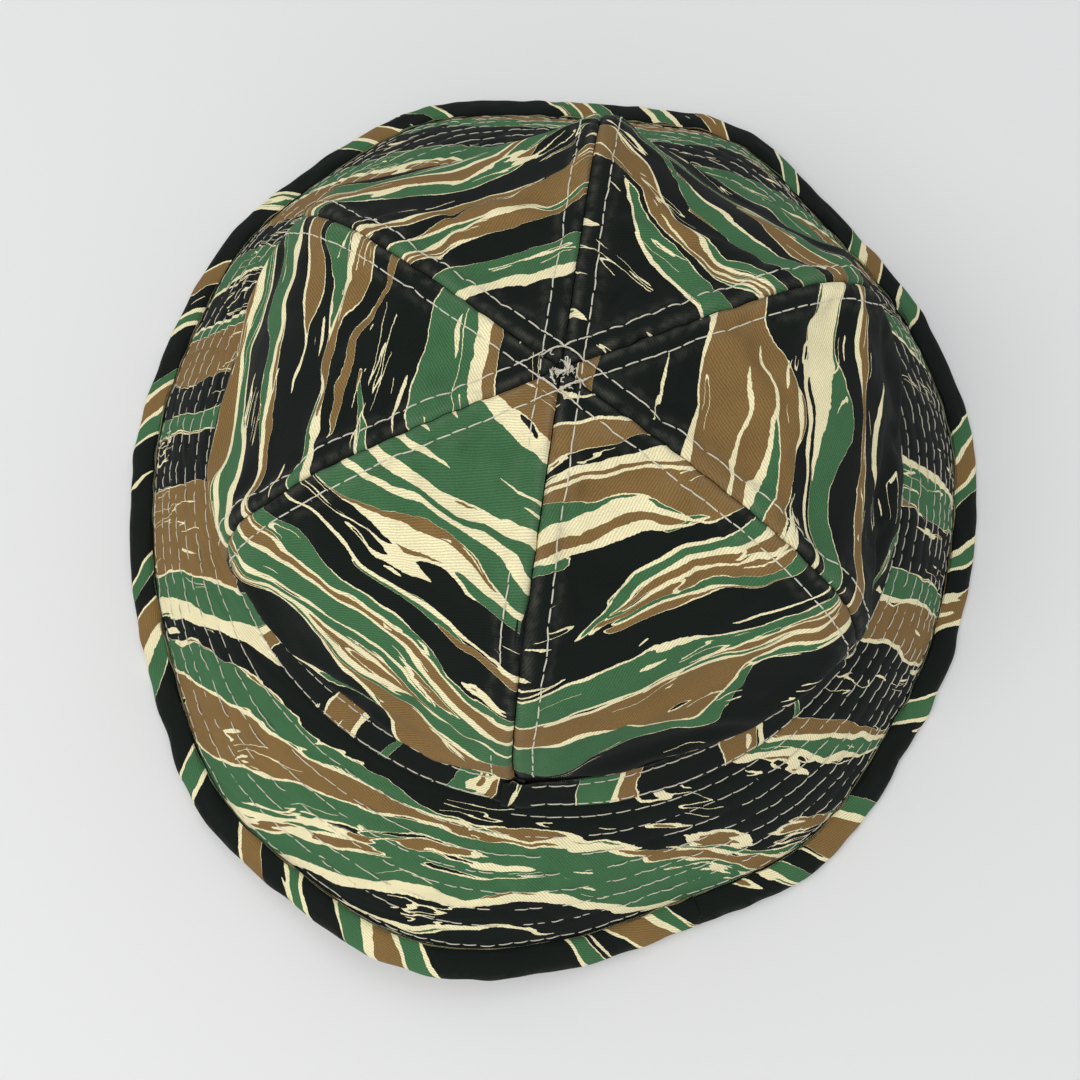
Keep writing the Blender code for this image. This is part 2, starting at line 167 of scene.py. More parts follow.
# Fineness of the meshes.
GORE_ROWS, GORE_COLUMNS = 170, 121
BRIM_ROWS, BRIM_COLUMNS = 76, 760

# Inks of the print, the tapes and the thread (linear colour).
BLACK = (0.0056, 0.0080, 0.0062)
GREEN = (0.050, 0.138, 0.058)
BROWN = (0.208, 0.124, 0.043)
CREAM = (0.82, 0.74, 0.46)
WRONG_SIDE = (0.40, 0.38, 0.28)
TAPE_BLACK = (0.010, 0.010, 0.011)
WORN = (0.24, 0.23, 0.19)
STIFFENER = (0.62, 0.60, 0.52)
THREAD = (0.74, 0.70, 0.57)
THREAD_SHADE = (0.50, 0.47, 0.37)
FLOOR = (0.78, 0.78, 0.77)

# The print: how firmly the plan, the broad noise and the fine noise each claim an ink, and how
# readily bare cream shows between inks.
PLAN_WEIGHT = 0.40
BROAD_WEIGHT = 0.85
BROAD_SIZE = (0.034, 0.0085)
FINE_WEIGHT = 0.66
FINE_SIZE = (0.024, 0.0027)
CREAM_WEIGHT = 0.075
CREAM_FLOOR = 0.012
CREAM_BAND_WEIGHT = 0.60
CREAM_BAND_EDGE = 0.55
WAVE_DEPTH = 0.0100
WAVE_SIZE = (0.032, 0.018)
SMALL_WAVE_DEPTH = 0.0036
SMALL_WAVE_SIZE = (0.012, 0.007)
RAGGED_DEPTH = 0.0006
BAND_SOFTNESS = 0.0011
BLACK_SWELL = 0.0008
TWILL_PITCH = 0.00066
TWILL_RUN = (0.62, 0.78)
TWILL_DEPTH = 0.00004
BAND_PRINT_TILT = math.radians(78)
BINDING_PRINT_TILT = math.radians(52)

# The print's bands down each gore, as an ink and where that ink ends, in millimetres from the
# apex: one end, or three for the gore's left, middle and right, so a band can slant or run out.
# k black, g green, b brown, c bare cream, s streaks of green and brown, d black with dashes.
GORE_PLAN_SPAN = 0.024
GORE_PLANS = {
    "back_right": "k7/10/17 c8.5/12/19 b19 c20 g23/20/20 k23/22/22 c24/25/28 b25/26/29 c26.5/27/30"
    " b27.5/32/46 g35/33/46 c37/36/46 b39/38/46 c40/40.5/46 g42/41/46.5 k56/46/47 c57.4/48/48.5"
    " g57.4/51/51 c57.4/52/52.3 b57.4/54/54 c57.4/55/55 b57.4/57.5/56.5 g57.4/58.5/59 c57.4/59.6/59.8"
    " b57.6/63.5/60 k61.5/67/68 c63/69/70.5 k64.5/69/71 c66/70.5/72.5 g76/78/75 c77.2/79.2/76"
    " s78/80/82 b86/98/83 c87/99/84 g100/105/87 k124/126/121 c125/127.5/123 b129/130/128 g140",
    "right": "k2 b9 k11 b12 k23.5/28/33 c29/29.5/35.5 b41/43/45 c42.5/44/45 b46/48.2/45.2"
    " c47.5/49/45.3 g51/49.3/45.3 b53/60.5/46 c54.5/60.8/46 k60/61/56 c63/65/57 k63.3/65/57"
    " c64/69/65 g72/76.5/66.5 k77/79/70 c78/79.3/71.3 k78/79.3/74 c79/79.6/77 b84/80/81"
    " c85/80.5/82 k96/84/92 c98/89/94 k108/118/112 g112/122/118 c113/124/120 k140",
    "front_right": "k28/34/50 c30/36.5/51.2 g38.5/44/52 k41/44.5/52 c42/45.2/52.6 b44/46.6/55"
    " c44.8/47.4/55.6 b46/50.5/65 c47/51.7/66.7 g50/52.4/66.9 c50.8/53/67 k54/60/76 c55/61.2/76"
    " g62/67/77 c63/69/77.4 k64/75/78 b72/76/78.6 c73/77/79.4 s82 c83 k92 g104 b112 k124 c126 g142",
    "front_left": "k20/20.5/21 b21/21.5/22 c22.7/23.6/24.2 g33/32/30 c33.5/32.6/30.8 k42/39/38.5"
    " c42.4/40.3/40.5 b44/44/41 c44.4/45/42 g44.6/45.6/47 c44.8/46.4/48.2 b57/52/48.8 k57/52.2/51.5"
    " b57.2/55.4/54 c58.7/57/56 k70/63/71 c71.2/64.3/71.6 s75/68/73.5 c76/69.2/74.6 b80/74/80"
    " c81/75.2/81 g90 k104 s120 k140",
    "left": "k15/14/13 b16/16/15.5 c19.5/19/18.2 g30/32.5/30 k38/48/37.2 c38.4/48.4/38.6"
    " g38.8/48.8/42 c39/49/43.7 k39.4/49.3/50.5 g40/49.8/51 b41.8/50.8/51.2 c43.2/52.2/52"
    " k46/54/52.2 c47.6/54.4/54.2 b52/58/54.4 c54/59/54.8 g60/59.2/57.8 c60.2/59.6/58.8 k60.6/68/70.2"
    " b68/68.4/71 c70/69.2/71.4 k75/74.5/71.8 b76/77/74.4 c78.6/78.6/76 g92/84/77 k98/96/84"
    " c100/98/88 g104/102/96 c106/104/99 b112 k124 g130 k140",
    "back_left": "k3 c4.4 b15/15/16 c18/18/18.6 g22.6/23/23 c23/23.5/23.7 g26/26.2/26.6 c26/26.8/28"
    " g31/31.5/31 c33/32/31.4 g38.5/37/34 b38.8/37.6/34.8 c41.2/40.2/36.8 g43.6/41.8/39.5 c45.2/44/41.8"
    " g51/47/45 b51.2/49/46 c52/53.6/48.4 g52.6/54.6/52 k60/61.6/62 c62/63.8/64 g63/64.8/64.6"
    " b63.2/65.4/67 k67/68.6/73 c68.2/70.2/73.4 g72/73/74 c73/74/74.8 b74.4/75.2/78 c75.6/76.4/80"
    " g79/79/80.6 c80/80/81 s84/83/84 c85/84.4/85 s86.5/87/88 c87/89/88.4 b87.5/92/88.8 c88.4/95/89"
    " g89/96/97 b90/97/118 c91/99.5/120 k126/127/126 c128/128.4/127.4 b130/130/131 g140",
}

# The brim's bands from the back to the front, at the left, in the middle and at the right,
# ending at these millimetres in front of the hat's middle.
BRIM_PLAN_SPAN = 0.110
BRIM_PLAN = (
    "k-140/-139/-139 c-139.5/-136/-138.6 k-131/-129/-138 c-127/-125.5/-134 g-121.5/-119/-118"
    " c-120.5/-118/-117.4 s-112/-111.5/-117 c-111/-110.8/-116.4 g-98/-108.2/-115 c-97/-107.6/-114"
    " b-81/-107.2/-108 c-79.8/-106.6/-107 g-68/-106.2/-106 c-67.4/-105.8/-105.5 d-67/-102/-92"
    " k-63/-85/-76 c-57.4/-80/-74 g-49/-78/-70 c-48/-76/-68.4 b-22/-60/-66 c-21.4/-58/-65"
    " k-5/-30/-44 c-4.4/-28/-42 b-4/-20/-31 c-3.6/-19/-30 g4/-8/-22 c5/-6/-20.6 k14/4/-3"
    " c14.6/5/-2.2 b32/18/-1.6 g36/24/9 c38/26/12 k50/48/54 c52/50/56.5 g64/62/66 k78/80/82"
    " b92/90/96 c94/91.4/97.4 g106/102/108 k120/118/122 c121/119.4/123 g132 b140 k156"
)
UNDER_PLAN = (
    "k-132 g-118/-112/-122 c-117/-111/-121 b-104/-100/-108 c-103/-99/-107 g-92/-90/-84 k-72/-70/-66"
    " c-70/-69/-65 s-56 k-42/-36/-44 b-28 c-27 g-12/-6/-14 k8 s24/20/28 c25/22/29 b38 k54/60/52 c56/61/53"
    " g68 b82/86/78 k98 g112 s128 k156"
)
# The trims are cut across the print, so its bands pass along them, over and over.
TRIM_PLAN = (
    "k22 c24.5 g31 k36 c38 b46 c48 k66 g72 c74 k88 b97 c99 g104 k124 c127 k130 c131.5 k146 g158"
    " c160 b165 k186 b196 c198.5 k206 g209 k226 s236 k240"
)
TRIM_REPEAT = 0.240
BINDING_PLAN = (
    "k13 c15 g20 c21.5 b27 c29 g34 k44 c46.5 g50 c52 k58 b66 c68 k84 c86 g92 c94 k98 c99.5 k112"
    " g118 c120.5 b129 c131 k136 g141 c143 k160"
)
BINDING_REPEAT = 0.160

# The crown's cloth simulation: its grid, how firmly each zone is held, and the most it may move.
DRAPE_COLUMNS = 168
DRAPE_ROWS = 50
DRAPE_START = 0.010
DRAPE_FRAMES = 22
DRAPE_FULLNESS = 0.050
DRAPE_LIMIT = 0.0055
HELD_SEAM = 0.50
HELD_GORE = 0.035

# The camera, aimed at the frame's origin.
CAMERA_AZIMUTH = math.radians(7.7)
CAMERA_ELEVATION = math.radians(71.5)
CAMERA_DISTANCE = 0.400
CAMERA_LENS = 41.7
CAMERA_SHIFT = (-0.0102, -0.0417)


# ------------------------------------------------------------------ small helpers


def smooth(x):
    x = np.clip(x, 0.0, 1.0)
    return x * x * (3 - 2 * x)


def unit(v):
    return v / np.linalg.norm(v, axis=-1, keepdims=True)


def bump(distance, width):
    """A soft hill of height 1 and the given half-width."""
    return np.exp(-((distance / width) ** 2))


def vector(x, y, z):
    return np.stack(np.broadcast_arrays(x, y, z), axis=-1).astype(float)


def surface_normal(face, a, b):
    """The outward normal of face(a, b), where a runs down the hat and b runs round it."""
    step = 1e-3
    low = np.maximum(a - step, 1e-4)
    down = face(a + step, b) - face(low, b)
    round_hat = face(a, b + step) - face(a, b - step)
    return unit(np.cross(down, round_hat))


def waves(seed, count, length_along, length_across):
    """A smooth random field: a sum of plane waves, stretched along its first coordinate."""
    random = np.random.default_rng(seed)
    heading = random.uniform(0, 2 * math.pi, count)
    spread = random.uniform(0.5, 1.5, count)
    along = 2 * math.pi * spread * np.cos(heading) / length_along
    across = 2 * math.pi * spread * np.sin(heading) / length_across
    phase = random.uniform(0, 2 * math.pi, count)

    def field(x, y):
        total = sum(np.cos(a * x + c * y + p) for a, c, p in zip(along, across, phase))
        return total / math.sqrt(count)

    return field


# ------------------------------------------------------------------ the brim's surface


def rim_wave(theta):
    return sum(h * np.cos(n * (theta - math.radians(peak))) for n, h, peak in RIM_WAVES)


def rim_height(theta):
    off_side = np.arccos(np.minimum(1.0, np.abs(np.cos(theta))))
    share = (off_side - CONTACT_HALF_ARC) / (math.pi / 2 - CONTACT_HALF_ARC)
    return smooth(share) * (RIM_LIFT + rim_wave(theta))


def raw_rim(theta):
    swell = rim_wave(theta)
    x = (RIM_HALF_WIDTH + swell) * np.cos(theta)
    y = (RIM_HALF_LENGTH + swell) * np.sin(theta)
    return vector(x, y, rim_height(theta))


AROUND = np.linspace(0, 2 * math.pi, 720, endpoint=False)
RIM_BOX = raw_rim(AROUND)[:, :2]
RIM_CENTRE = np.append((RIM_BOX.min(axis=0) + RIM_BOX.max(axis=0)) / 2, 0.0)


def ruffle(theta):
    """The finished edge's small waves, out and in, and up wherever the edge is off the floor."""
    swell = sum(h * np.cos(n * (theta - math.radians(peak))) for n, h, peak in RIM_RUFFLES)
    off_floor = smooth(rim_height(theta) / RIM_LIFT)
    return vector(swell * np.cos(theta), swell * np.sin(theta), 0.8 * swell * off_floor)


def fold_face(theta):
    """The brim's outer face over the centre of the binding's fold."""
    outward = vector(np.cos(theta), np.sin(theta), 0.0)
    centre = raw_rim(theta) - RIM_CENTRE + FOLD_RADIUS * (UP - outward) + ruffle(theta)
    normal = outward * math.sin(LIP_SLOPE) + UP * math.cos(LIP_SLOPE)
    return centre + normal * BRIM_STACK / 2


def ditch_face(theta):
    """The brim's outer face where the binding's inner edge is sewn down."""
    inward = -vector(np.cos(theta), np.sin(theta), 0.0)
    uphill = inward * math.cos(LIP_SLOPE) + UP * math.sin(LIP_SLOPE)
    return fold_face(theta) + uphill * (BINDING_WIDTH - FOLD_RADIUS)


def ring_point(theta, out=0.0, up=0.0):
    x = (RING_HALF_WIDTH + out) * np.cos(theta)
    y = (RING_HALF_LENGTH + out) * np.sin(theta)
    return vector(x, y, RING_HEIGHT + up) + RING_OFFSET


def brim_face(s, theta):
    """The brim's plain outer face: s is 0 at the head opening, 1 at the ditch, 2 at the fold."""
    ditch = ditch_face(theta)
    inner = ring_point(theta, BRIM_START_OUT, -BRIM_START_DOWN)
    run = ditch - inner
    along_rim = vector(-np.sin(theta), np.cos(theta), 0.0)
    upward = unit(np.cross(run, along_rim))
    s = np.asarray(s, float)[..., None]
    slope = inner + run * s + upward * 4 * BRIM_CROWNING * s * (1 - s)
    lip = ditch + (fold_face(theta) - ditch) * (s - 1)
    return np.where(s > 1, lip, slope)


# ------------------------------------------------------------------ the crown's surface


def along_outline(outline, t):
    """A smooth curve through an outline's points, as (radius share, rise share) at t."""
    points = np.array(outline)
    mirrored = np.array([[-points[1, 0], points[1, 1]]])
    points = np.concatenate([mirrored, points, points[-1:]])
    place = np.clip(t, 0.0, 1.0) * OUTLINE_SPANS
    i = np.minimum(place.astype(int), OUTLINE_SPANS - 1)
    f = (place - i)[..., None]
    before, near, far, after = (points[i + k] for k in range(4))
    ease = f * f * (3 - 2 * f)
    leave = (far - before) / 2 * f * (1 - f) ** 2
    arrive = (after - near) / 2 * f * f * (1 - f)
    return near * (1 - ease) + far * ease + leave - arrive


def crown_centre(t):
    """The middle of the crown at one level, carried over by the lean of its soft top."""
    rise = along_outline(SIDE_OUTLINE, t)[..., 1:]
    below = np.maximum(t - 1.0, 0.0)[..., None] * CROWN_RISE
    return UP * (RING_HEIGHT + CROWN_RISE * rise - below) + RING_OFFSET + CROWN_LEAN * rise


def crown_face(t, theta):
    """The crown's plain outer face: t is 0 at the apex, 1 at the head opening."""
    t, theta = np.broadcast_arrays(np.asarray(t, float), theta)
    sideways = np.cos(theta)[..., None] ** 2
    end, side = along_outline(END_OUTLINE, t), along_outline(SIDE_OUTLINE, t)
    radius, rise = np.moveaxis(end + (side - end) * sideways, -1, 0)
    reach = radius * (1 - SEAM_RIDGE * np.cos(GORES * theta) * 4 * rise * (1 - rise))
    x = RING_HALF_WIDTH * reach * np.cos(theta)
    y = RING_HALF_LENGTH * reach * np.sin(theta)
    return crown_centre(t) + vector(x, y, 0.0)


def seam_angle(number):
    """Seam 0 is the centre back, and they count towards +X."""
    return BACK + number * 2 * math.pi / GORES


# ------------------------------------------------------------------ what the sewing does


SLACK = waves(3, 22, 0.085, 0.055)
CREASES = waves(5, 30, 0.030, 0.018)
PUFFS = waves(11, 26, 0.012, 0.05)
RIPPLES = waves(17, 30, 0.011, 0.040)


def crown_reach(t, theta):
    flat = (crown_face(t, theta) - crown_centre(np.asarray(t, float)))[..., :2]
    return np.linalg.norm(flat, axis=-1)


def crown_relief(t, theta):
    """How far the sewn crown stands off its plain outline, before the cloth's thickness."""
    reach = crown_reach(t, theta)
    height = np.zeros_like(reach)
    for number in range(GORES):
        turn = theta - seam_angle(number)
        ahead = np.cos(turn) * reach
        aside = np.abs(np.sin(turn) * reach)
        near = smooth((ahead + 0.002) / 0.004)
        rows = np.abs(aside - TWIN_ROW_OFFSET)
        pad = 0.00045 * smooth((ALLOWANCE_HALF_WIDTH - aside) / 0.0016)
        groove = 0.0009 * bump(aside, 0.0007) + 0.0003 * bump(rows, 0.0006)
        pull = 0.00010 * np.cos(2 * math.pi * ahead / STITCH_PITCH) * bump(rows, 0.0014)
        height += near * (pad - groove + pull)
    loose = smooth(reach / 0.05) * smooth((1.0 - t) / 0.22)
    along, down = theta * RING_HALF_WIDTH, t * (RING_HALF_WIDTH + CROWN_RISE)
    height += loose * (0.0008 * SLACK(along, down) + 0.00018 * CREASES(down, along))
    return height


def draped_crown(t, theta):
    """The crown's outer face after the cloth simulation has let it settle."""
    return crown_face(t, theta) + DRAPE.at(t, theta)


def sewn_crown(t, theta, lift=0.0):
    """A point lift metres off the sewn crown's outer face."""
    t, theta = np.broadcast_arrays(np.asarray(t, float), theta)
    off = np.asarray(crown_relief(t, theta) + lift)[..., None]
    return draped_crown(t, theta) + surface_normal(draped_crown, t, theta) * off


BRIM_SPAN = float(np.linalg.norm(brim_face(1.0, np.array(0.0)) - brim_face(0.0, np.array(0.0))))
LAST_ROW = BRIM_SPAN - LAST_ROW_INSET
SPIRAL_TURNS = (LAST_ROW - 0.6 * ROW_PITCH - FIRST_ROW) / ROW_PITCH


def turned_from_back(theta):
    return np.mod(theta - BACK, 2 * math.pi) / (2 * math.pi)


def brim_relief(s, theta):
    """The quilting: the cloth sinks at every row and puffs up between them."""
    out = s * BRIM_SPAN
    turn = turned_from_back(theta)
    row = (out - FIRST_ROW) / ROW_PITCH - turn
    count = np.clip(np.round(row), 0, np.floor(SPIRAL_TURNS - turn))
    to_row = np.abs(row - count) * ROW_PITCH
    to_row = np.minimum(to_row, np.abs(out - LAST_ROW))
    around = theta * (RING_HALF_WIDTH + out)
    puff = 0.00030 * (1 - bump(to_row, 0.0013))
    pucker = 0.00006 * np.sin(2 * math.pi * around / BRIM_STITCH_PITCH + 2.1 * count)
    pull = pucker * bump(to_row, 0.0022)
    crease = 0.00022 * RIPPLES(around, out) * smooth(out / 0.006)
    held = smooth(1.5 - np.abs(s - 0.5))
    return (puff + pull + crease) * held * smooth((1.0 - s) / 0.02 + 0.15)


def sewn_brim(s, theta, lift=0.0):
    """A point lift metres off the quilted brim's outer face."""
    s, theta = np.broadcast_arrays(np.asarray(s, float), theta)
    off = np.asarray(brim_relief(s, theta) + lift)[..., None]
    return brim_face(s, theta) + surface_normal(brim_face, s, theta) * off


# ------------------------------------------------------------------ mesh building


def build_mesh(name, points, faces, uvs=None, wear=None):
    """A smooth-shaded object from points (n, 3), arrays of faces and one uv for each point.

    Wear is how much each point is rubbed, from 0 to 1, for the cloth's material.
    """
    corners_of_faces = np.concatenate([f.ravel() for f in faces]).astype(np.int32)
    totals = np.concatenate([np.full(len(f), f.shape[1]) for f in faces]).astype(np.int32)
    starts = np.concatenate([[0], np.cumsum(totals)[:-1]]).astype(np.int32)
    mesh = bpy.data.meshes.new(name)
    mesh.vertices.add(len(points))
    mesh.vertices.foreach_set("co", points.astype(np.float32).ravel())
    mesh.loops.add(len(corners_of_faces))
    mesh.loops.foreach_set("vertex_index", corners_of_faces)
    mesh.polygons.add(len(totals))
    mesh.polygons.foreach_set("loop_start", starts)
    mesh.polygons.foreach_set("loop_total", totals)
    if uvs is not None:
        layer = mesh.uv_layers.new(name="cloth")
        layer.data.foreach_set("uv", uvs[corners_of_faces].astype(np.float32).ravel())
    if wear is not None:
        rubbed = mesh.attributes.new("wear", "FLOAT", "POINT")
        rubbed.data.foreach_set("value", wear.astype(np.float32).ravel())
    mesh.update(calc_edges=True)
    mesh.shade_smooth()
    mesh.set_sharp_from_angle(angle=math.radians(50))
    obj = bpy.data.objects.new(name, mesh)
    bpy.context.scene.collection.objects.link(obj)
    return obj


def grid_faces(rows, columns, first=0, wrap=False):
    """Quads of a grid of points numbered row by row, facing out where rows run down the hat."""
    i, j = np.meshgrid(np.arange(rows - 1), np.arange(columns if wrap else columns - 1), indexing="ij")
    k = (j + 1) % columns
    corner = lambda a, b: first + a * columns + b
    quads = np.stack([corner(i, j), corner(i + 1, j), corner(i + 1, k), corner(i, k)], axis=-1)
    return quads.reshape(-1, 4)


def cloth_sheet(name, outer, inner, uv, wrap=False, wear=None):
    """A closed cloth between two grids of points (rows, columns, 3)."""
    rows, columns = outer.shape[:2]
    size = rows * columns
    number = np.arange(size).reshape(rows, columns)
    border = [number[0, ::-1], number[-1, :]]
    if wrap:
        border = [np.append(number[0, ::-1], number[0, -1]), np.append(number[-1, :], number[-1, 0])]
    else:
        border += [number[:, 0], number[::-1, -1]]
    faces = [grid_faces(rows, columns, wrap=wrap)]
    faces.append(grid_faces(rows, columns, size, wrap)[:, ::-1])
    for edge in border:
        faces.append(np.stack([edge[:-1], edge[:-1] + size, edge[1:] + size, edge[1:]], axis=-1))
    points = np.concatenate([outer.reshape(-1, 3), inner.reshape(-1, 3)])
    flat = uv.reshape(-1, 2)
    rubbed = None if wear is None else np.concatenate([wear.ravel(), np.zeros(size)])
    return build_mesh(name, points, faces, np.concatenate([flat, flat]), rubbed)


def strip_along(name, sections, uv, wrap=False, wear=None):
    """A solid swept through sections (stations, points, 3), each a closed loop."""
    stations, size = sections.shape[:2]
    number = np.arange(stations * size).reshape(stations, size)
    ahead = np.roll(number, -1, axis=0) if wrap else number[1:]
    here = number if wrap else number[:-1]
    quads = np.stack(
        [here, np.roll(here, -1, axis=1), np.roll(ahead, -1, axis=1), ahead], axis=-1
    ).reshape(-1, 4)
    faces = [quads]
    if not wrap:
        faces += [number[:1, ::-1], number[-1:]]
    return build_mesh(name, sections.reshape(-1, 3), faces, uv.reshape(-1, 2), wear)


def stitches(name, rows, pitch, length, radius=THREAD_RADIUS):
    """Rows of sewing: each row is (points on the cloth, outward normals) along a line.

    A stitch is a short length of thread, rounded up over the cloth and diving in at its ends.
    """
    sides, rings = 6, 7
    along = np.linspace(-0.5, 0.5, rings)
    swing = np.arange(sides) * 2 * math.pi / sides
    arch = 1 - (2 * along) ** 4
    lift = radius * (1.5 * arch - 0.9)
    girth = radius * (0.72 + 0.28 * arch)
    all_points = []
    for points, normals in rows:
        steps = np.linalg.norm(np.diff(points, axis=0), axis=1)
        place = np.concatenate([[0.0], np.cumsum(steps)])
        count = int(place[-1] / pitch)
        middles = (np.arange(count) + 0.5) * place[-1] / count
        wander = 0.00035 * np.sin(7.3 * np.arange(count)) + 0.0002 * np.sin(2.1 * np.arange(count))
        at = middles[:, None] + wander[:, None] + along * length
        spine = np.stack([np.interp(at, place, points[:, k]) for k in range(3)], axis=-1)
        up = unit(np.stack([np.interp(at, place, normals[:, k]) for k in range(3)], axis=-1))
        ahead = unit(np.gradient(spine, axis=1))
        side = unit(np.cross(ahead, up))
        skew = 0.00010 * np.sin(5.1 * np.arange(count))[:, None] * (2 * along)
        spine = spine + up * lift[None, :, None] + side * skew[..., None]
        ring = side[:, :, None] * np.cos(swing)[:, None] + up[:, :, None] * np.sin(swing)[:, None]
        all_points.append((spine[:, :, None] + ring * girth[None, :, None, None]).reshape(-1, 3))
    points = np.concatenate(all_points)
    total = len(points) // (rings * sides)
    number = np.arange(total * rings * sides).reshape(total, rings, sides)
    here, ahead = number[:, :-1], number[:, 1:]
    quads = np.stack([here, ahead, np.roll(ahead, -1, axis=2), np.roll(here, -1, axis=2)], axis=-1)
    faces = [quads.reshape(-1, 4), number[:, 0, :], number[:, -1, ::-1]]
    return build_mesh(name, points, faces)


def line_on(place, a, b, lift=0.0):
    """Points and normals of a line on a sewn surface, for stitches."""
    points = place(a, b, lift)
    return points, unit(place(a, b, lift + 0.001) - points)


def finish_piece(obj, material, slot, *nodes):
    obj.data.materials.append(material)
    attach(obj, "root")
    if nodes:
        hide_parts(*nodes)
    return obj
# ------------------------------------------------------------------ cloth simulation of the crown


class Drape:
    """How far the simulated cloth has moved, at any level and angle of the crown."""

    def __init__(self, levels, moves):
        self.levels = levels
        self.moves = moves

    def at(self, t, theta):
        t, theta = np.broadcast_arrays(np.asarray(t, float), theta)
        rows, columns = self.moves.shape[:2]
        row = np.interp(t, self.levels, np.arange(rows))
        column = np.mod(theta - BACK, 2 * math.pi) / (2 * math.pi) * columns
        i, j = np.floor(row).astype(int), np.floor(column).astype(int)
        total = 0.0
        for a, down in zip(range(-1, 3), spline_weights(row - i)):
            r = np.clip(i + a, 0, rows - 1)
            for b, across in zip(range(-1, 3), spline_weights(column - j)):
                total = total + self.moves[r, (j + b) % columns] * (down * across)[..., None]
        return total


def spline_weights(f):
    """The four weights of a smooth (cubic B-spline) blend between grid lines."""
    near, far = 1 - f, f
    return near**3 / 6, (4 - 6 * f**2 + 3 * f**3) / 6, (4 - 6 * near**2 + 3 * near**3) / 6, far**3 / 6


def even_levels(count, first_reach):
    """Levels evenly spaced along the crown's side, from a reach from the apex to the band."""
    fine = np.linspace(0.0, BAND_LEVEL, 800)
    line = crown_face(fine, np.zeros_like(fine))
    place = np.concatenate([[0.0], np.cumsum(np.linalg.norm(np.diff(line, axis=0), axis=1))])
    reach = np.abs(line[:, 0] - crown_centre(fine)[:, 0])
    start = np.interp(first_reach, reach[: len(reach) // 2], place[: len(reach) // 2])
    return np.interp(np.linspace(start, place[-1], count), place, fine)


def simulate_crown(obj, held):
    """Blender's cloth on one object; held is how firmly each point keeps its place."""
    group = obj.vertex_groups.new(name="held")
    for index, weight in enumerate(held):
        group.add([index], float(weight), "REPLACE")
    cloth = obj.modifiers.new("cloth", "CLOTH")
    settings = cloth.settings
    settings.quality = 6
    settings.mass = 0.15
    settings.tension_stiffness = settings.compression_stiffness = 25.0
    settings.shear_stiffness = 10.0
    settings.bending_stiffness = 0.6
    settings.air_damping = 2.0
    settings.shrink_min = -DRAPE_FULLNESS
    settings.vertex_group_mass = "held"
    settings.effector_weights.gravity = 0.35
    cloth.collision_settings.use_collision = False
    scene = bpy.context.scene
    for frame_number in range(1, DRAPE_FRAMES + 1):
        scene.frame_set(frame_number)
    settled = obj.evaluated_get(bpy.context.evaluated_depsgraph_get())
    points = np.empty(3 * len(settled.data.vertices))
    settled.data.vertices.foreach_get("co", points)
    scene.frame_set(1)
    return points.reshape(-1, 3)


def drape_crown():
    """Let the crown settle as cloth with a little fullness between its taped seams."""
    levels = even_levels(DRAPE_ROWS, DRAPE_START)
    theta = BACK + np.arange(DRAPE_COLUMNS) * 2 * math.pi / DRAPE_COLUMNS
    t, theta = np.meshgrid(levels, theta, indexing="ij")
    plain = crown_face(t, theta)
    reach = crown_reach(t, theta)
    turn = np.abs(np.mod((theta - BACK) * GORES / (2 * math.pi) + 0.5, 1.0) - 0.5)
    beside = turn * 2 * math.pi / GORES * reach
    held = HELD_GORE + (HELD_SEAM - HELD_GORE) * bump(beside, 0.006)
    held = np.maximum(held, 0.9 * smooth((0.022 - reach) / 0.010))
    held = np.maximum(held, smooth((t - BAND_LEVEL + 0.05) / 0.04))
    faces = [grid_faces(DRAPE_ROWS, DRAPE_COLUMNS, wrap=True)]
    obj = build_mesh("crown_drape", plain.reshape(-1, 3), faces)
    moved = simulate_crown(obj, held.ravel()).reshape(plain.shape) - plain
    bpy.data.objects.remove(obj)
    far = np.linalg.norm(moved, axis=-1, keepdims=True)
    moved *= DRAPE_LIMIT * np.tanh(far / DRAPE_LIMIT) / np.maximum(far, 1e-9)
    near_foot = smooth((BAND_LEVEL - t) / 0.05)[..., None]
    return Drape(levels, moved * near_foot)


DRAPE = drape_crown()




# ------------------------------------------------------------------ the crown's pieces


def fine_levels(count, first, last, theta):
    """Levels evenly spaced along the crown's surface, and their distances from the first."""
    fine = np.linspace(first, last, 600)
    steps = np.linalg.norm(np.diff(crown_face(fine, theta), axis=0), axis=1)
    place = np.concatenate([[0.0], np.cumsum(steps)])
    even = np.linspace(0.0, place[-1], count)
    return np.interp(even, place, fine), even


def add_gore(number, material, reverse):
    """One crown panel. Its print runs straight across it, so stripes meet at the seams in angles."""
    name = GORE_NAMES[number]
    middle = seam_angle(number) + math.pi / GORES
    levels, down = fine_levels(GORE_ROWS, 0.006, 1.0, middle)
    reach = crown_reach(levels, np.full_like(levels, middle))
    half_turn = math.pi / GORES - 0.00012 / reach
    share = np.linspace(-1, 1, GORE_COLUMNS)
    t = np.repeat(levels[:, None], GORE_COLUMNS, axis=1)
    turn = half_turn[:, None] * share
    outer = sewn_crown(t, middle + turn)
    inner = sewn_crown(t, middle + turn, -CROWN_CLOTH)
    flatness = 0.2 + 0.8 * np.clip(np.gradient(reach, down), 0, 1)
    across = reach[:, None] * np.sin(turn)
    along = down[:, None] - (reach * flatness)[:, None] * (1 - np.cos(turn))
    beside = (half_turn[:, None] - np.abs(turn)) * reach[:, None]
    worn = 0.8 * bump(beside - 0.0012, 0.0010) + 0.4 * bump(beside - ALLOWANCE_HALF_WIDTH, 0.0012)
    obj = cloth_sheet("gore_" + name, outer, inner, np.stack([across, along], axis=-1), wear=worn)
    finish_piece(obj, material, "camo_twill_crown", "crown_gore_" + name)
    show_reverse(obj, reverse, (GORE_ROWS - 1) * (GORE_COLUMNS - 1))


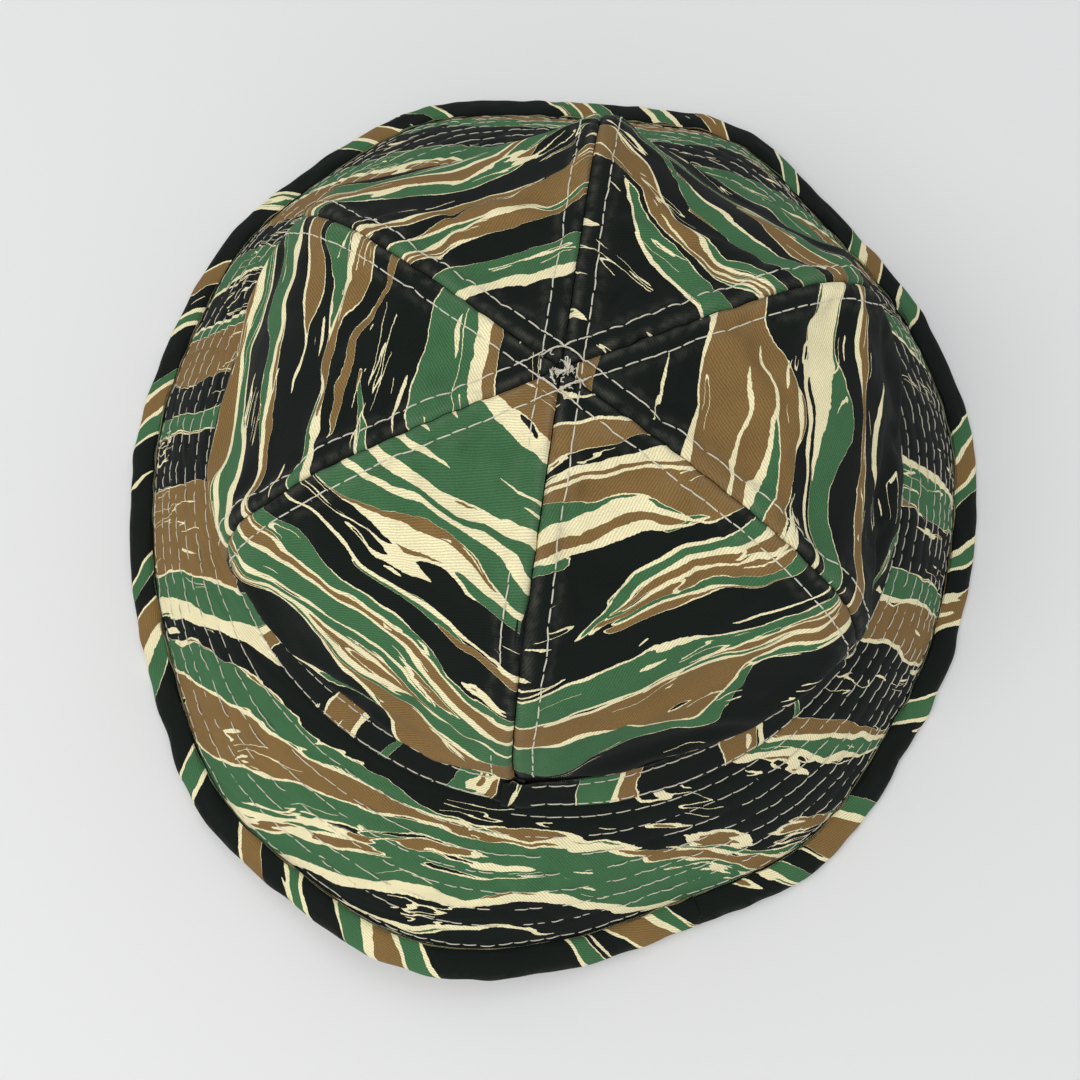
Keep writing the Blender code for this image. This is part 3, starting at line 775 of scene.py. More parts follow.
def show_reverse(obj, reverse, faces_on_one_side):
    """The cloth's wrong side, where the print shows paler."""
    obj.data.materials.append(reverse)
    index = np.zeros(len(obj.data.polygons), np.int32)
    index[faces_on_one_side : 2 * faces_on_one_side] = 1
    obj.data.polygons.foreach_set("material_index", index)


REACH_LEVELS = np.linspace(0.0, 0.5, 400)
REACHES = RING_HALF_WIDTH * along_outline(SIDE_OUTLINE, REACH_LEVELS)[:, 0]
APEX_ZONE = 0.026


def beside_seam(number, offset, stop, levels=150, foot=BAND_LEVEL):
    """(levels, angles) of a line beside a seam, from the foot up to stop metres from the apex.

    Near the apex the line is straight in plan; a negative stop carries it over the apex.
    """
    seam = seam_angle(number)
    edge = np.interp(math.hypot(APEX_ZONE, offset), REACHES, REACH_LEVELS)
    t = np.linspace(foot, edge, levels)
    turn = np.arcsin(offset / crown_reach(t, np.full_like(t, seam)))
    ahead = np.linspace(APEX_ZONE, stop, 40)[1:]
    t_near = np.interp(np.hypot(ahead, offset), REACHES, REACH_LEVELS)
    turn_near = np.arctan2(offset, ahead)
    return np.concatenate([t, t_near]), seam + np.concatenate([turn, turn_near])


def add_seam_stitches(material):
    """Twin rows beside each seam. The front and back rows run over the apex as one line."""
    for side, label in ((-1, "left"), (1, "right")):
        t, theta = beside_seam(0, side * TWIN_ROW_OFFSET, 0.0)
        t_far, theta_far = beside_seam(3, -side * TWIN_ROW_OFFSET, 0.0)
        t, theta = np.append(t, t_far[-2::-1]), np.append(theta, theta_far[-2::-1])
        row = line_on(sewn_crown, t, theta)
        obj = stitches("seam_stitches_centre_" + label, [row], STITCH_PITCH, STITCH_LENGTH)
        finish_piece(obj, material, "sewing_thread", "seam_thread_centre_" + label)
    for name, number in (("back_right", 1), ("front_right", 2), ("front_left", 4), ("back_left", 5)):
        for side, label in ((-1, "a"), (1, "b")):
            t, theta = beside_seam(number, side * TWIN_ROW_OFFSET, -0.004)
            over = 0.0002 * smooth((0.012 - crown_reach(t, theta)) / 0.006) * (1 + number % 3)
            row = line_on(sewn_crown, t, theta, over)
            obj = stitches(f"seam_stitches_{name}_{label}", [row], STITCH_PITCH, STITCH_LENGTH)
            finish_piece(obj, material, "sewing_thread", f"seam_thread_{name}_{label}")


def add_apex_thread_ends(material):
    """The loose ends of thread that stand up where all the rows cross."""
    random = np.random.default_rng(THREAD_END_SEED)
    rows = []
    for _ in range(THREAD_ENDS):
        along = np.linspace(0.0, THREAD_END_LENGTH, 30)
        heading = random.uniform(0, 2 * math.pi) + random.uniform(-500, 500) * along
        start = random.uniform(-0.003, 0.003, 2)
        x = start[0] + np.cumsum(np.cos(heading)) * along[1]
        y = start[1] + np.cumsum(np.sin(heading)) * along[1]
        t = np.interp(np.hypot(x, y), REACHES, REACH_LEVELS)
        lift = 0.0004 + random.uniform(0.0006, 0.0022) * np.sin(math.pi * along / along[-1]) ** 2
        rows.append(line_on(sewn_crown, t, np.arctan2(y, x), lift))
    obj = stitches("apex_thread_ends", rows, 0.96 * THREAD_END_LENGTH, 0.94 * THREAD_END_LENGTH, 0.00017)
    finish_piece(obj, material, "sewing_thread")


def tape_end(offset):
    """Where a side tape's pointed end stops, clear of the centre tape and of its neighbour.

    Offset is how far across the tape, towards the neighbour on the same side.
    """
    turn = 2 * math.pi / GORES
    clear_of_centre = (TAPE_HALF_WIDTH + GAP - offset * math.cos(turn)) / math.sin(turn)
    clear_of_neighbour = (GAP + offset * math.sin(turn)) / math.cos(turn)
    return max(clear_of_centre, clear_of_neighbour)


def add_tapes(material):
    """Tapes sewn over the seams inside; the centre one is a single length over the apex."""
    across = np.linspace(-1, 1, 9) * TAPE_HALF_WIDTH

    def sheet(name, node, columns):
        t = np.stack([c[0] for c in columns], axis=1)
        theta = np.stack([c[1] for c in columns], axis=1)
        outer = sewn_crown(t, theta, TAPE_TOP)
        inner = sewn_crown(t, theta, TAPE_TOP - TAPE_CLOTH)
        run = np.linspace(0, 1, len(t)) * (RING_HALF_WIDTH + CROWN_RISE)
        uv = np.stack(np.broadcast_arrays(run[:, None], across), axis=-1)
        finish_piece(cloth_sheet(name, outer, inner, uv), material, "seam_tape", node)

    whole = []
    for offset in across:
        t, theta = beside_seam(0, offset + 1e-6, 0.0, foot=1.0)
        t_far, theta_far = beside_seam(3, -offset - 1e-6, 0.0, foot=1.0)
        whole.append((np.append(t, t_far[-2::-1]), np.append(theta, theta_far[-2::-1])))
    sheet("tape_centre", "seam_tape_centre", whole)
    for name, number in (("back_right", 1), ("front_right", 2), ("front_left", 4), ("back_left", 5)):
        towards = 1 if number in (1, 4) else -1
        columns = []
        for offset in across:
            stop = tape_end(towards * offset)
            columns.append(beside_seam(number, offset + 1e-6, stop, foot=1.0))
        sheet("tape_" + name, "seam_tape_" + name, columns)


def strip_uv(sections, run, tilt):
    """Uv of a cut strip whose print crosses it at the angle tilt."""
    steps = np.linalg.norm(np.diff(sections, axis=1), axis=-1)
    girth = np.concatenate([np.zeros((len(sections), 1)), np.cumsum(steps, axis=1)], axis=1)
    run = np.broadcast_to(run[:, None], girth.shape)
    along = run * math.cos(tilt) + girth * math.sin(tilt)
    across = -run * math.sin(tilt) + girth * math.cos(tilt)
    return np.stack([along, across], axis=-1)


def add_hat_band(material, thread):
    """A strip with folded edges round the crown's foot, lapped at the back right over left."""
    turned = np.linspace(2 * math.pi + BAND_LAP / 4, -BAND_LAP / 4, 700)
    theta = BACK - turned
    climb = GAP + (BAND_CLOTH + GAP) * smooth((turned - 2 * math.pi + BAND_LAP) / BAND_LAP)
    down = np.linspace(0, 1, 13)
    levels = BAND_LEVEL + (1 - BAND_LEVEL) * down
    rows = np.abs(down[:, None] - np.array((0.16, 0.88))).min(axis=1)
    puff = 0.00022 * (1 - bump(rows, 0.07)) * (down * (1 - down) * 4) ** 0.25
    edge = 0.5 + 0.5 * (down * (1 - down) * 4) ** 0.35
    t = levels[None, :] + 0 * theta[:, None]
    wobble = 0.00018 * CREASES(theta * RING_HALF_WIDTH, 0 * theta)[:, None] * edge
    outside = sewn_crown(t, theta[:, None] + 0 * t, climb[:, None] + BAND_CLOTH * edge + puff + wobble)
    inside = sewn_crown(t, theta[:, None] + 0 * t, climb[:, None] + 0 * t)
    sections = np.concatenate([outside, inside[:, ::-1]], axis=1)
    uv = strip_uv(sections, turned * RING_HALF_WIDTH, BAND_PRINT_TILT)
    ends = bump(down, 0.05) + bump(1 - down, 0.05)
    worn = np.broadcast_to(np.concatenate([ends, 0 * ends]), sections.shape[:2])
    obj = strip_along("hat_band_strip", sections, uv, wear=0.8 * worn)
    finish_piece(obj, material, "camo_twill_trim", "hat_band")
    path = np.linspace(2 * math.pi - 0.4 * BAND_LAP, 0.5 * BAND_LAP, 1400)
    lift = BAND_CLOTH + np.interp(path, turned[::-1], climb[::-1])
    for label, share in (("upper", 0.16), ("lower", 0.88)):
        level = np.full_like(path, BAND_LEVEL + (1 - BAND_LEVEL) * share)
        row = line_on(sewn_crown, level, BACK - path, lift)
        obj = stitches("band_stitches_" + label, [row], STITCH_PITCH, STITCH_LENGTH)
        finish_piece(obj, thread, "sewing_thread", "band_thread_" + label)


def add_sweatband(material):
    """A folded cloth band inside the head opening, its ends butted at the back."""
    theta = BACK + np.linspace(0.0006, 2 * math.pi - 0.0006, 500)
    levels = np.linspace(SWEAT_LEVEL, 1.0 + SWEATBAND_DROP / CROWN_RISE, 36)
    t, angle = np.meshgrid(levels, theta, indexing="ij")
    slack = 0.0005 * CREASES(angle * RING_HALF_WIDTH, 0.3 * t) * smooth((1 - t) / 0.15)
    edge = 0.6 + 0.4 * smooth((levels - SWEAT_LEVEL) / 0.02)[:, None]
    outer = sewn_crown(t, angle, SWEATBAND_TOP - 0.0006 * (t < 1) - np.abs(slack))
    inner = outer - surface_normal(crown_face, t, angle) * (SWEATBAND_CLOTH * edge)[..., None]
    uv = np.stack([angle * RING_HALF_WIDTH, t * CROWN_RISE], axis=-1)
    obj = cloth_sheet("sweatband_cloth", outer, inner, uv)
    finish_piece(obj, material, "sweatband_twill", "sweatband")


# ------------------------------------------------------------------ the brim's pieces


def under_brim(s, theta, lift=0.0):
    """A point lift metres below the brim's underside, which puffs down between the rows."""
    s, theta = np.broadcast_arrays(np.asarray(s, float), theta)
    off = np.asarray(-BRIM_STACK - brim_relief(s, theta) - lift)[..., None]
    return brim_face(s, theta) + surface_normal(brim_face, s, theta) * off


def brim_uv(s, theta):
    """The brim lies in its print as a flat ring, so the stripes cross it all one way."""
    out = s * BRIM_SPAN
    return np.stack(
        [(RING_HALF_WIDTH + out) * np.cos(theta), (RING_HALF_LENGTH + out) * np.sin(theta)], axis=-1
    )


def add_brim(top_material, under_material, stiffener):
    s = np.concatenate([np.linspace(0, 1, BRIM_ROWS), [1.25, 1.5, 1.75, 1.95]])
    theta = BACK + np.linspace(0, 2 * math.pi, BRIM_COLUMNS, endpoint=False)
    s, theta = np.meshgrid(s, theta, indexing="ij")
    uv = brim_uv(s, theta)
    upper, lower = sewn_brim(s, theta), sewn_brim(s, theta, -BRIM_CLOTH)
    for face in (upper, lower):
        face[0] -= BRIM_TUCK * vector(np.cos(theta[0]), np.sin(theta[0]), 0.0)
    top = cloth_sheet("brim_cloth_top", upper, lower, uv, True)
    finish_piece(top, top_material, "camo_twill_brim", "brim_top")
    upper, lower = under_brim(s, theta, -BRIM_CLOTH), under_brim(s, theta)
    under = cloth_sheet("brim_cloth_under", upper, lower, uv, True)
    finish_piece(under, under_material, "camo_twill_brim", "brim_under")
    few = (slice(3, None, 4), slice(None, None, 4))
    s, theta, uv = s[few], theta[few], uv[few]
    depth = BRIM_CLOTH + GAP
    normal = surface_normal(brim_face, s, theta)
    upper = brim_face(s, theta) - normal * depth
    middle = cloth_sheet("brim_stiffener", upper, upper - normal * INTERLINING, uv, True)
    finish_piece(middle, stiffener, "interlining", "brim_interlining")


def add_brim_stitches(material):
    """The quilting spiral and the row beside the binding, with their undersides."""
    turns = np.linspace(0, SPIRAL_TURNS, int(SPIRAL_TURNS * 1400))
    s = (FIRST_ROW + ROW_PITCH * turns) / BRIM_SPAN
    theta = BACK + 2 * math.pi * turns
    rows = [line_on(sewn_brim, s, theta), line_on(under_brim, s, theta)]
    obj = stitches("quilting_stitches", rows, BRIM_STITCH_PITCH, BRIM_STITCH_LENGTH, BRIM_THREAD_RADIUS)
    finish_piece(obj, material, "sewing_thread", "brim_quilting_thread")
    theta = BACK + np.linspace(0, 2 * math.pi, 1800)
    s = np.full_like(theta, LAST_ROW / BRIM_SPAN)
    rows = [line_on(sewn_brim, s, theta), line_on(under_brim, s, theta)]
    obj = stitches("edge_stitches", rows, BRIM_STITCH_PITCH, BRIM_STITCH_LENGTH, BRIM_THREAD_RADIUS)
    finish_piece(obj, material, "sewing_thread", "brim_edge_thread")


EDGE_RIPPLES = waves(23, 28, 0.022, 0.5)
EDGE_PUFFS = waves(29, 28, 0.011, 0.5)


def add_binding(material):
    """A strip folded round the brim's edge, lying out as a soft puckered lip."""
    theta = BINDING_JOIN + np.linspace(0.0006, 2 * math.pi - 0.0006, 900)
    run = (theta - BINDING_JOIN) * (RIM_HALF_WIDTH + RIM_HALF_LENGTH) / 2
    ripple = EDGE_RIPPLES(run, 0 * run)
    pinch = EDGE_PUFFS(run, 0 * run)
    face = brim_face(2.0, theta)
    normal = surface_normal(brim_face, np.full_like(theta, 1.9), theta)
    outward = unit(face - brim_face(1.8, theta))
    centre = face - normal * BRIM_STACK / 2
    points = []
    for s in np.linspace(1.0, 2.0, 9)[:-1]:
        swell = math.sin(math.pi * (s - 1.0) ** 0.8)
        puff = swell * (0.0007 + 0.00050 * ripple) + (1 - swell) * 0.00030 * pinch
        base = brim_face(s, theta) + surface_normal(brim_face, np.full_like(theta, min(s, 1.9)), theta) * (
            GAP + BINDING_CLOTH + puff
        )[:, None]
        points.append(base)
    bulge = FOLD_RADIUS + 0.00024 * ripple + 0.00016 * pinch
    for swing in np.radians((90, 60, 30, 5, -20, -45)):
        points.append(centre + (outward * math.cos(swing) + normal * math.sin(swing)) * bulge[:, None])
    flat_out = unit(outward * np.array((1, 1, 0)))
    for x in (LAND_HALF_WIDTH, -LAND_HALF_WIDTH):
        points.append(centre - UP * FOLD_RADIUS + flat_out * x)
    under = -(BRIM_STACK + GAP)
    for s in (1.6, 1.3, 1.0):
        base_normal = surface_normal(brim_face, np.full_like(theta, s), theta)
        points.append(brim_face(s, theta) + base_normal * (under - BINDING_CLOTH))
    points.append(brim_face(1.0, theta) + surface_normal(brim_face, 0 * theta + 1.0, theta) * under)
    for swing in np.radians((-90, -45, 0, 45, 90)):
        hollow = FOLD_RADIUS - BINDING_CLOTH
        points.append(centre + (outward * math.cos(swing) + normal * math.sin(swing)) * hollow)
    points.append(brim_face(1.0, theta) + surface_normal(brim_face, 0 * theta + 1.0, theta) * GAP)
    sections = np.stack(points, axis=1)
    uv = strip_uv(sections, run, BINDING_PRINT_TILT)
    folded = np.linalg.norm(sections - (centre + outward * FOLD_RADIUS)[:, None], axis=-1)
    obj = strip_along("edge_binding_strip", sections, uv, wear=bump(folded, 0.0018))
    finish_piece(obj, material, "camo_twill_trim", "edge_binding")


# ------------------------------------------------------------------ materials


class Graph:
    """Short forms for wiring shader nodes."""

    def __init__(self, tree):
        self.tree = tree

    def node(self, kind, inputs=(), **settings):
        node = self.tree.nodes.new(kind)
        for key, value in settings.items():
            setattr(node, key, value)
        for socket, value in dict(inputs).items():
            self.put(node.inputs[socket], value)
        return node

    def put(self, socket, value):
        if isinstance(value, bpy.types.NodeSocket):
            self.tree.links.new(value, socket)
        else:
            socket.default_value = value

    def math(self, operation, *values):
        node = self.tree.nodes.new("ShaderNodeMath")
        node.operation = operation
        for socket, value in zip(node.inputs, values):
            self.put(socket, value)
        return node.outputs[0]

    def step(self, value, low, high):
        """0 below low and 1 above high, smoothly."""
        inputs = {"Value": value, "From Min": low, "From Max": high}
        return self.node("ShaderNodeMapRange", inputs, interpolation_type="SMOOTHSTEP").outputs[0]

    def mix(self, factor, a, b):
        node = self.node("ShaderNodeMix", data_type="RGBA")
        for socket, value in ((0, factor), (6, a), (7, b)):
            self.put(node.inputs[socket], value)
        return node.outputs[2]

    def place(self, u, v, seed):
        return self.node("ShaderNodeCombineXYZ", {"X": u, "Y": v, "Z": seed}).outputs[0]

    def noise(self, u, v, seed, detail=2.0, colour=False):
        inputs = {"Vector": self.place(u, v, seed), "Scale": 1.0, "Detail": detail, "Roughness": 0.5}
        return self.node("ShaderNodeTexNoise", inputs).outputs["Color" if colour else "Fac"]

    def scaled_noise(self, u, v, seed, long, wide, detail=2.0, colour=False):
        """Noise whose blotches are about long by wide metres."""
        return self.noise(self.math("DIVIDE", u, long), self.math("DIVIDE", v, wide), seed, detail, colour)


def rgb(colour):
    return (*colour, 1.0)


def new_group(name, inputs, outputs):
    tree = bpy.data.node_groups.new(name, "ShaderNodeTree")
    for label, kind in inputs:
        tree.interface.new_socket(label, in_out="INPUT", socket_type=kind)
    for label, kind in outputs:
        tree.interface.new_socket(label, in_out="OUTPUT", socket_type=kind)
    graph = Graph(tree)
    source = graph.node("NodeGroupInput").outputs
    target = graph.node("NodeGroupOutput").inputs
    return graph, source, target


def tiger_stripe_group():
    """Four inks: the strongest of three fields wins, and cream stays bare where two are level.

    Each field is the plan's share of black (red), green (green) or brown (blue), plus a broad
    and a fine stretched noise. A plan with no ink at all leaves cream.
    """
    graph, source, target = new_group(
        "tiger_stripe",
        [("U", "NodeSocketFloat"), ("V", "NodeSocketFloat"), ("Seed", "NodeSocketFloat")]
        + [("Plan", "NodeSocketColor"), ("Dashes", "NodeSocketFloat")],
        [("Color", "NodeSocketColor")],
    )
    u, v, seed = source["U"], source["V"], source["Seed"]

    def three(value):
        return graph.node("ShaderNodeSeparateColor", {0: value}).outputs

    broad = three(graph.scaled_noise(u, v, seed, *BROAD_SIZE, 1.0, colour=True))
    fine = three(graph.scaled_noise(u, v, graph.math("ADD", seed, 3.7), *FINE_SIZE, 1.0, colour=True))
    plan = three(source["Plan"])
    fields = []
    for i in range(3):
        field = graph.math("MULTIPLY", plan[i], PLAN_WEIGHT)
        field = graph.math("MULTIPLY_ADD", broad[i], BROAD_WEIGHT, field)
        fields.append(graph.math("MULTIPLY_ADD", fine[i], FINE_WEIGHT, field))
    black, green, brown = fields
    coloured = graph.math("MAXIMUM", green, brown)
    top = graph.math("MAXIMUM", black, coloured)
    low = graph.math("MINIMUM", black, graph.math("MINIMUM", green, brown))
    total = graph.math("ADD", black, graph.math("ADD", green, brown))
    second = graph.math("SUBTRACT", graph.math("SUBTRACT", total, top), low)
    lead = graph.math("SUBTRACT", top, second)
    vary = graph.scaled_noise(u, v, graph.math("ADD", seed, 7.3), 0.022, 0.010, 1.0)
    bare = graph.math("MULTIPLY_ADD", graph.step(vary, 0.36, 0.64), CREAM_WEIGHT, CREAM_FLOOR)
    inked = graph.math("ADD", plan[0], graph.math("ADD", plan[1], plan[2]))
    without = graph.math("MAXIMUM", graph.math("SUBTRACT", CREAM_BAND_EDGE, inked), 0.0)
    without = graph.math("DIVIDE", without, CREAM_BAND_EDGE)
    bare = graph.math("MULTIPLY_ADD", without, CREAM_BAND_WEIGHT, bare)
    cream = graph.math("LESS_THAN", lead, bare)
    dash = graph.scaled_noise(u, v, graph.math("ADD", seed, 13.7), 0.026, 0.0030, 1.0)
    dash_line = graph.math("LESS_THAN", graph.math("ABSOLUTE", graph.math("SUBTRACT", dash, 0.5)), 0.014)
    patchy = graph.scaled_noise(u, v, graph.math("ADD", seed, 21.1), 0.030, 0.012, 1.0)
    dash_here = graph.math("GREATER_THAN", patchy, 0.60)
    dashes = graph.math("MULTIPLY", graph.math("MULTIPLY", dash_line, dash_here), source["Dashes"])
    cream = graph.math("MAXIMUM", cream, dashes)
    colour = graph.mix(graph.math("GREATER_THAN", green, brown), rgb(BROWN), rgb(GREEN))
    colour = graph.mix(graph.math("GREATER_THAN", black, coloured), colour, rgb(BLACK))
    graph.put(target["Color"], graph.mix(cream, colour, rgb(CREAM)))
    return graph.tree


def twill_group():
    """Diagonal ribs: a shade to multiply the colour by, painted darker where the ribs and yarns sit low and
    lighter where they stand up, with random mottle in it, and a height in metres.
    """
    graph, source, target = new_group(
        "twill",
        [("U", "NodeSocketFloat"), ("V", "NodeSocketFloat"), ("Pitch", "NodeSocketFloat")],
        [("GrooveShadeAndMottle", "NodeSocketFloat"), ("Height", "NodeSocketFloat")],
    )
    u, v, pitch = source["U"], source["V"], source["Pitch"]
    slant = graph.math("ADD", graph.math("MULTIPLY", u, TWILL_RUN[0]), graph.math("MULTIPLY", v, TWILL_RUN[1]))
    drift = graph.scaled_noise(u, v, 3.0, 0.004, 0.004, 1.0)
    phase = graph.math("ADD", graph.math("DIVIDE", slant, pitch), graph.math("MULTIPLY", drift, 0.8))
    rib = graph.math("SINE", graph.math("MULTIPLY", phase, 2 * math.pi))
    yarn = graph.scaled_noise(u, v, 9.0, 0.00045, 0.00045, 2.0)
    mottle = graph.scaled_noise(u, v, 5.0, 0.010, 0.010, 3.0)
    # Painted shade: the rib and yarn terms darken the colour in the weave's grooves, just as they lower its
    # height; the mottle term is random tone.
    shade = graph.math("ADD", 1.0, graph.math("MULTIPLY", rib, 0.17))
    shade = graph.math("ADD", shade, graph.math("MULTIPLY", graph.math("SUBTRACT", yarn, 0.5), 0.55))
    shade = graph.math("ADD", shade, graph.math("MULTIPLY", graph.math("SUBTRACT", mottle, 0.5), 0.30))
    height = graph.math("ADD", graph.math("MULTIPLY", rib, 0.5), graph.math("MULTIPLY", yarn, 0.9))
    graph.put(target["GrooveShadeAndMottle"], shade)
    graph.put(target["Height"], graph.math("MULTIPLY", height, TWILL_DEPTH))
    return graph.tree


def cloth_coordinates(graph):
    uv = graph.node("ShaderNodeUVMap", uv_map="cloth").outputs[0]
    parts = graph.node("ShaderNodeSeparateXYZ", {0: uv}).outputs
    return parts[0], parts[1]


def finish_cloth(graph, colour, u, v, pitch, roughness):
    """Weave, with painted shade in its grooves, rubbed edges and sheen over a colour, wired to the material's
    shader.
    """
    group = graph.node("ShaderNodeGroup", node_tree=bpy.data.node_groups["twill"])
    for socket, value in (("U", u), ("V", v), ("Pitch", pitch)):
        graph.put(group.inputs[socket], value)
    rubbed = graph.node("ShaderNodeAttribute", attribute_name="wear").outputs["Fac"]
    patches = graph.step(graph.scaled_noise(u, v, 27.0, 0.0030, 0.0030, 3.0), 0.30, 0.70)
    faded = graph.math("MULTIPLY", graph.math("MULTIPLY", rubbed, patches), 0.20)
    colour = graph.mix(faded, colour, rgb(WORN))
    # The colour times the twill's painted groove shade and random mottle.
    groove_shade_and_mottle = graph.node("ShaderNodeCombineXYZ", {i: group.outputs["GrooveShadeAndMottle"] for i in range(3)}).outputs[0]
    groove_shaded_colour = graph.node("ShaderNodeVectorMath", {0: colour, 1: groove_shade_and_mottle}, operation="MULTIPLY").outputs[0]
    fuzz = graph.node("ShaderNodeVectorMath", {0: groove_shaded_colour, 1: (0.0020, 0.0022, 0.0021)}, operation="ADD").outputs[0]
    shader = graph.tree.nodes["Principled BSDF"]
    graph.put(shader.inputs["Base Color"], fuzz)
    worn = graph.scaled_noise(u, v, 31.0, 0.006, 0.006, 2.0)
    graph.put(shader.inputs["Roughness"], graph.math("ADD", roughness - 0.06, graph.math("MULTIPLY", worn, 0.12)))
    shader.inputs["Specular IOR Level"].default_value = 0.09
    shader.inputs["Sheen Weight"].default_value = 0.022
    shader.inputs["Sheen Roughness"].default_value = 0.5
    bump_node = graph.node("ShaderNodeBump", {"Height": group.outputs["Height"], "Distance": 1.0, "Strength": 1.0})
    graph.put(shader.inputs["Normal"], bump_node.outputs[0])


def new_material(name, colour):
    material = bpy.data.materials.new(name)
    material.use_nodes = True
    material.diffuse_color = rgb(colour)
    return material, Graph(material.node_tree)


INK_PLAN = {
    "k": (1.0, 0.0, 0.0),
    "g": (0.0, 1.0, 0.0),
    "b": (0.0, 0.0, 1.0),
    "c": (0.0, 0.0, 0.0),
    "s": (0.22, 0.80, 0.72),
    "d": (0.92, 0.22, 0.50),
}


def plan_of(text):
    """Bands (ink, its ends at the left, in the middle and at the right, in metres)."""
    listed = []
    for word in text.split():
        ends = [float(number) / 1000 for number in word[1:].split("/")]
        listed.append((word[0], ends if len(ends) == 3 else ends * 3))
    return listed


def plan_inks(graph, u, v, text, span):
    """The plan's ink at (u, v), each band giving way softly to the next."""
    bands = plan_of(text)
    left = graph.step(graph.math("MULTIPLY", u, -1.0), 0.0, span)
    right = graph.step(u, 0.0, span)
    inks = rgb(INK_PLAN[bands[0][0]])
    for (band, ends), (ink, _) in zip(bands, bands[1:]):
        place = ends[1] + BLACK_SWELL * ((band == "k") - (ink == "k"))
        for share, end in ((left, ends[0]), (right, ends[2])):
            if end != ends[1]:
                place = graph.math("MULTIPLY_ADD", share, end - ends[1], place)
        past = graph.step(graph.math("SUBTRACT", v, place), -BAND_SOFTNESS, BAND_SOFTNESS)
        inks = graph.mix(past, inks, rgb(INK_PLAN[ink]))
    return inks


def print_group(name, text, seed, span, repeat):
    """One piece's print, as a colour at (U, V); repeat is the length after which it starts again.

    Thin cream dashes are left off a repeated print, which only the narrow trims have.
    """
    graph, source, target = new_group(
        name, [("U", "NodeSocketFloat"), ("V", "NodeSocketFloat")], [("Color", "NodeSocketColor")]
    )
    u, v = source["U"], source["V"]
    wave = graph.scaled_noise(u, v, seed + 40.0, *WAVE_SIZE, 0.0)
    small = graph.scaled_noise(u, v, seed + 45.0, *SMALL_WAVE_SIZE, 1.0)
    ragged = graph.scaled_noise(u, v, seed + 50.0, 0.0016, 0.0011, 2.0)
    bent = v
    for noise, depth in ((wave, WAVE_DEPTH), (small, SMALL_WAVE_DEPTH), (ragged, RAGGED_DEPTH)):
        bent = graph.math("MULTIPLY_ADD", graph.math("SUBTRACT", noise, 0.5), depth, bent)
    place = graph.math("FLOORED_MODULO", bent, repeat) if repeat else bent
    inks = plan_inks(graph, u, place, text, span)
    group = graph.node("ShaderNodeGroup", node_tree=bpy.data.node_groups["tiger_stripe"])
    for socket, value in (("U", u), ("V", bent), ("Seed", seed), ("Plan", inks), ("Dashes", float(not repeat))):
        graph.put(group.inputs[socket], value)
    graph.put(target["Color"], group.outputs["Color"])
    return graph.tree


def camo_materials(name, text, seed, span=GORE_PLAN_SPAN, repeat=0.0):
    """Printed twill: its right side, and its wrong side, where the print shows paler."""
    tree = print_group(name + "_print", text, seed, span, repeat)
    made = []
    for side, pale in (("", 0.0), ("_wrong_side", 0.72)):
        material, graph = new_material(name + side, GREEN)
        u, v = cloth_coordinates(graph)
        made.append(material)
        finish_cloth(graph, printed_colour(graph, tree, u, v, pale), u, v, TWILL_PITCH, 0.90)
    return made


def printed_colour(graph, tree, u, v, pale):
    group = graph.node("ShaderNodeGroup", node_tree=tree)
    graph.put(group.inputs["U"], u)
    graph.put(group.inputs["V"], v)
    return graph.mix(pale, group.outputs["Color"], rgb(WRONG_SIDE))


def plain_cloth(name, colour, pitch, roughness):
    material, graph = new_material(name, colour)
    u, v = cloth_coordinates(graph)
    finish_cloth(graph, rgb(colour), u, v, pitch, roughness)
    return material


def thread_material():
    material, graph = new_material("off_white_thread", THREAD)
    shader = graph.tree.nodes["Principled BSDF"]
    position = graph.node("ShaderNodeNewGeometry").outputs["Position"]
    fleck = graph.node("ShaderNodeTexNoise", {"Vector": position, "Scale": 900.0, "Detail": 2.0}).outputs["Fac"]
    graph.put(shader.inputs["Base Color"], graph.mix(fleck, rgb(THREAD), rgb(THREAD_SHADE)))
    shader.inputs["Roughness"].default_value = 0.72
    ply = graph.node("ShaderNodeTexNoise", {"Vector": position, "Scale": 2600.0, "Detail": 1.0}).outputs["Fac"]
    twist = graph.node("ShaderNodeBump", {"Height": ply, "Distance": 0.00008, "Strength": 0.8})
    graph.put(shader.inputs["Normal"], twist.outputs[0])
    return material


# ------------------------------------------------------------------ floor, light and camera


def add_stage():
    size = 9.0
    corners_of_floor = np.array([(-1, -1, 0), (1, -1, 0), (1, 1, 0), (-1, 1, 0)]) * size
    floor = build_mesh("floor", corners_of_floor + UP * (cad_low[2] - 0.0001), [np.array([[0, 1, 2, 3]])])
    material, graph = new_material("pale_floor", FLOOR)
    shader = graph.tree.nodes["Principled BSDF"]
    shader.inputs["Base Color"].default_value = rgb(FLOOR)
    shader.inputs["Roughness"].default_value = 0.85
    floor.data.materials.append(material)


def add_light(name, place, size, power, colour=(1.0, 1.0, 1.0)):
    data = bpy.data.lights.new(name, "AREA")
    data.shape = "DISK"
    data.size = size
    data.energy = power
    data.color = colour
    light = bpy.data.objects.new(name, data)
    light.location = place
    aim = np.array((0.0, 0.0, 0.05)) - np.array(place)
    light.rotation_euler = Vector(aim).to_track_quat("-Z", "Y").to_euler()
    bpy.context.scene.collection.objects.link(light)


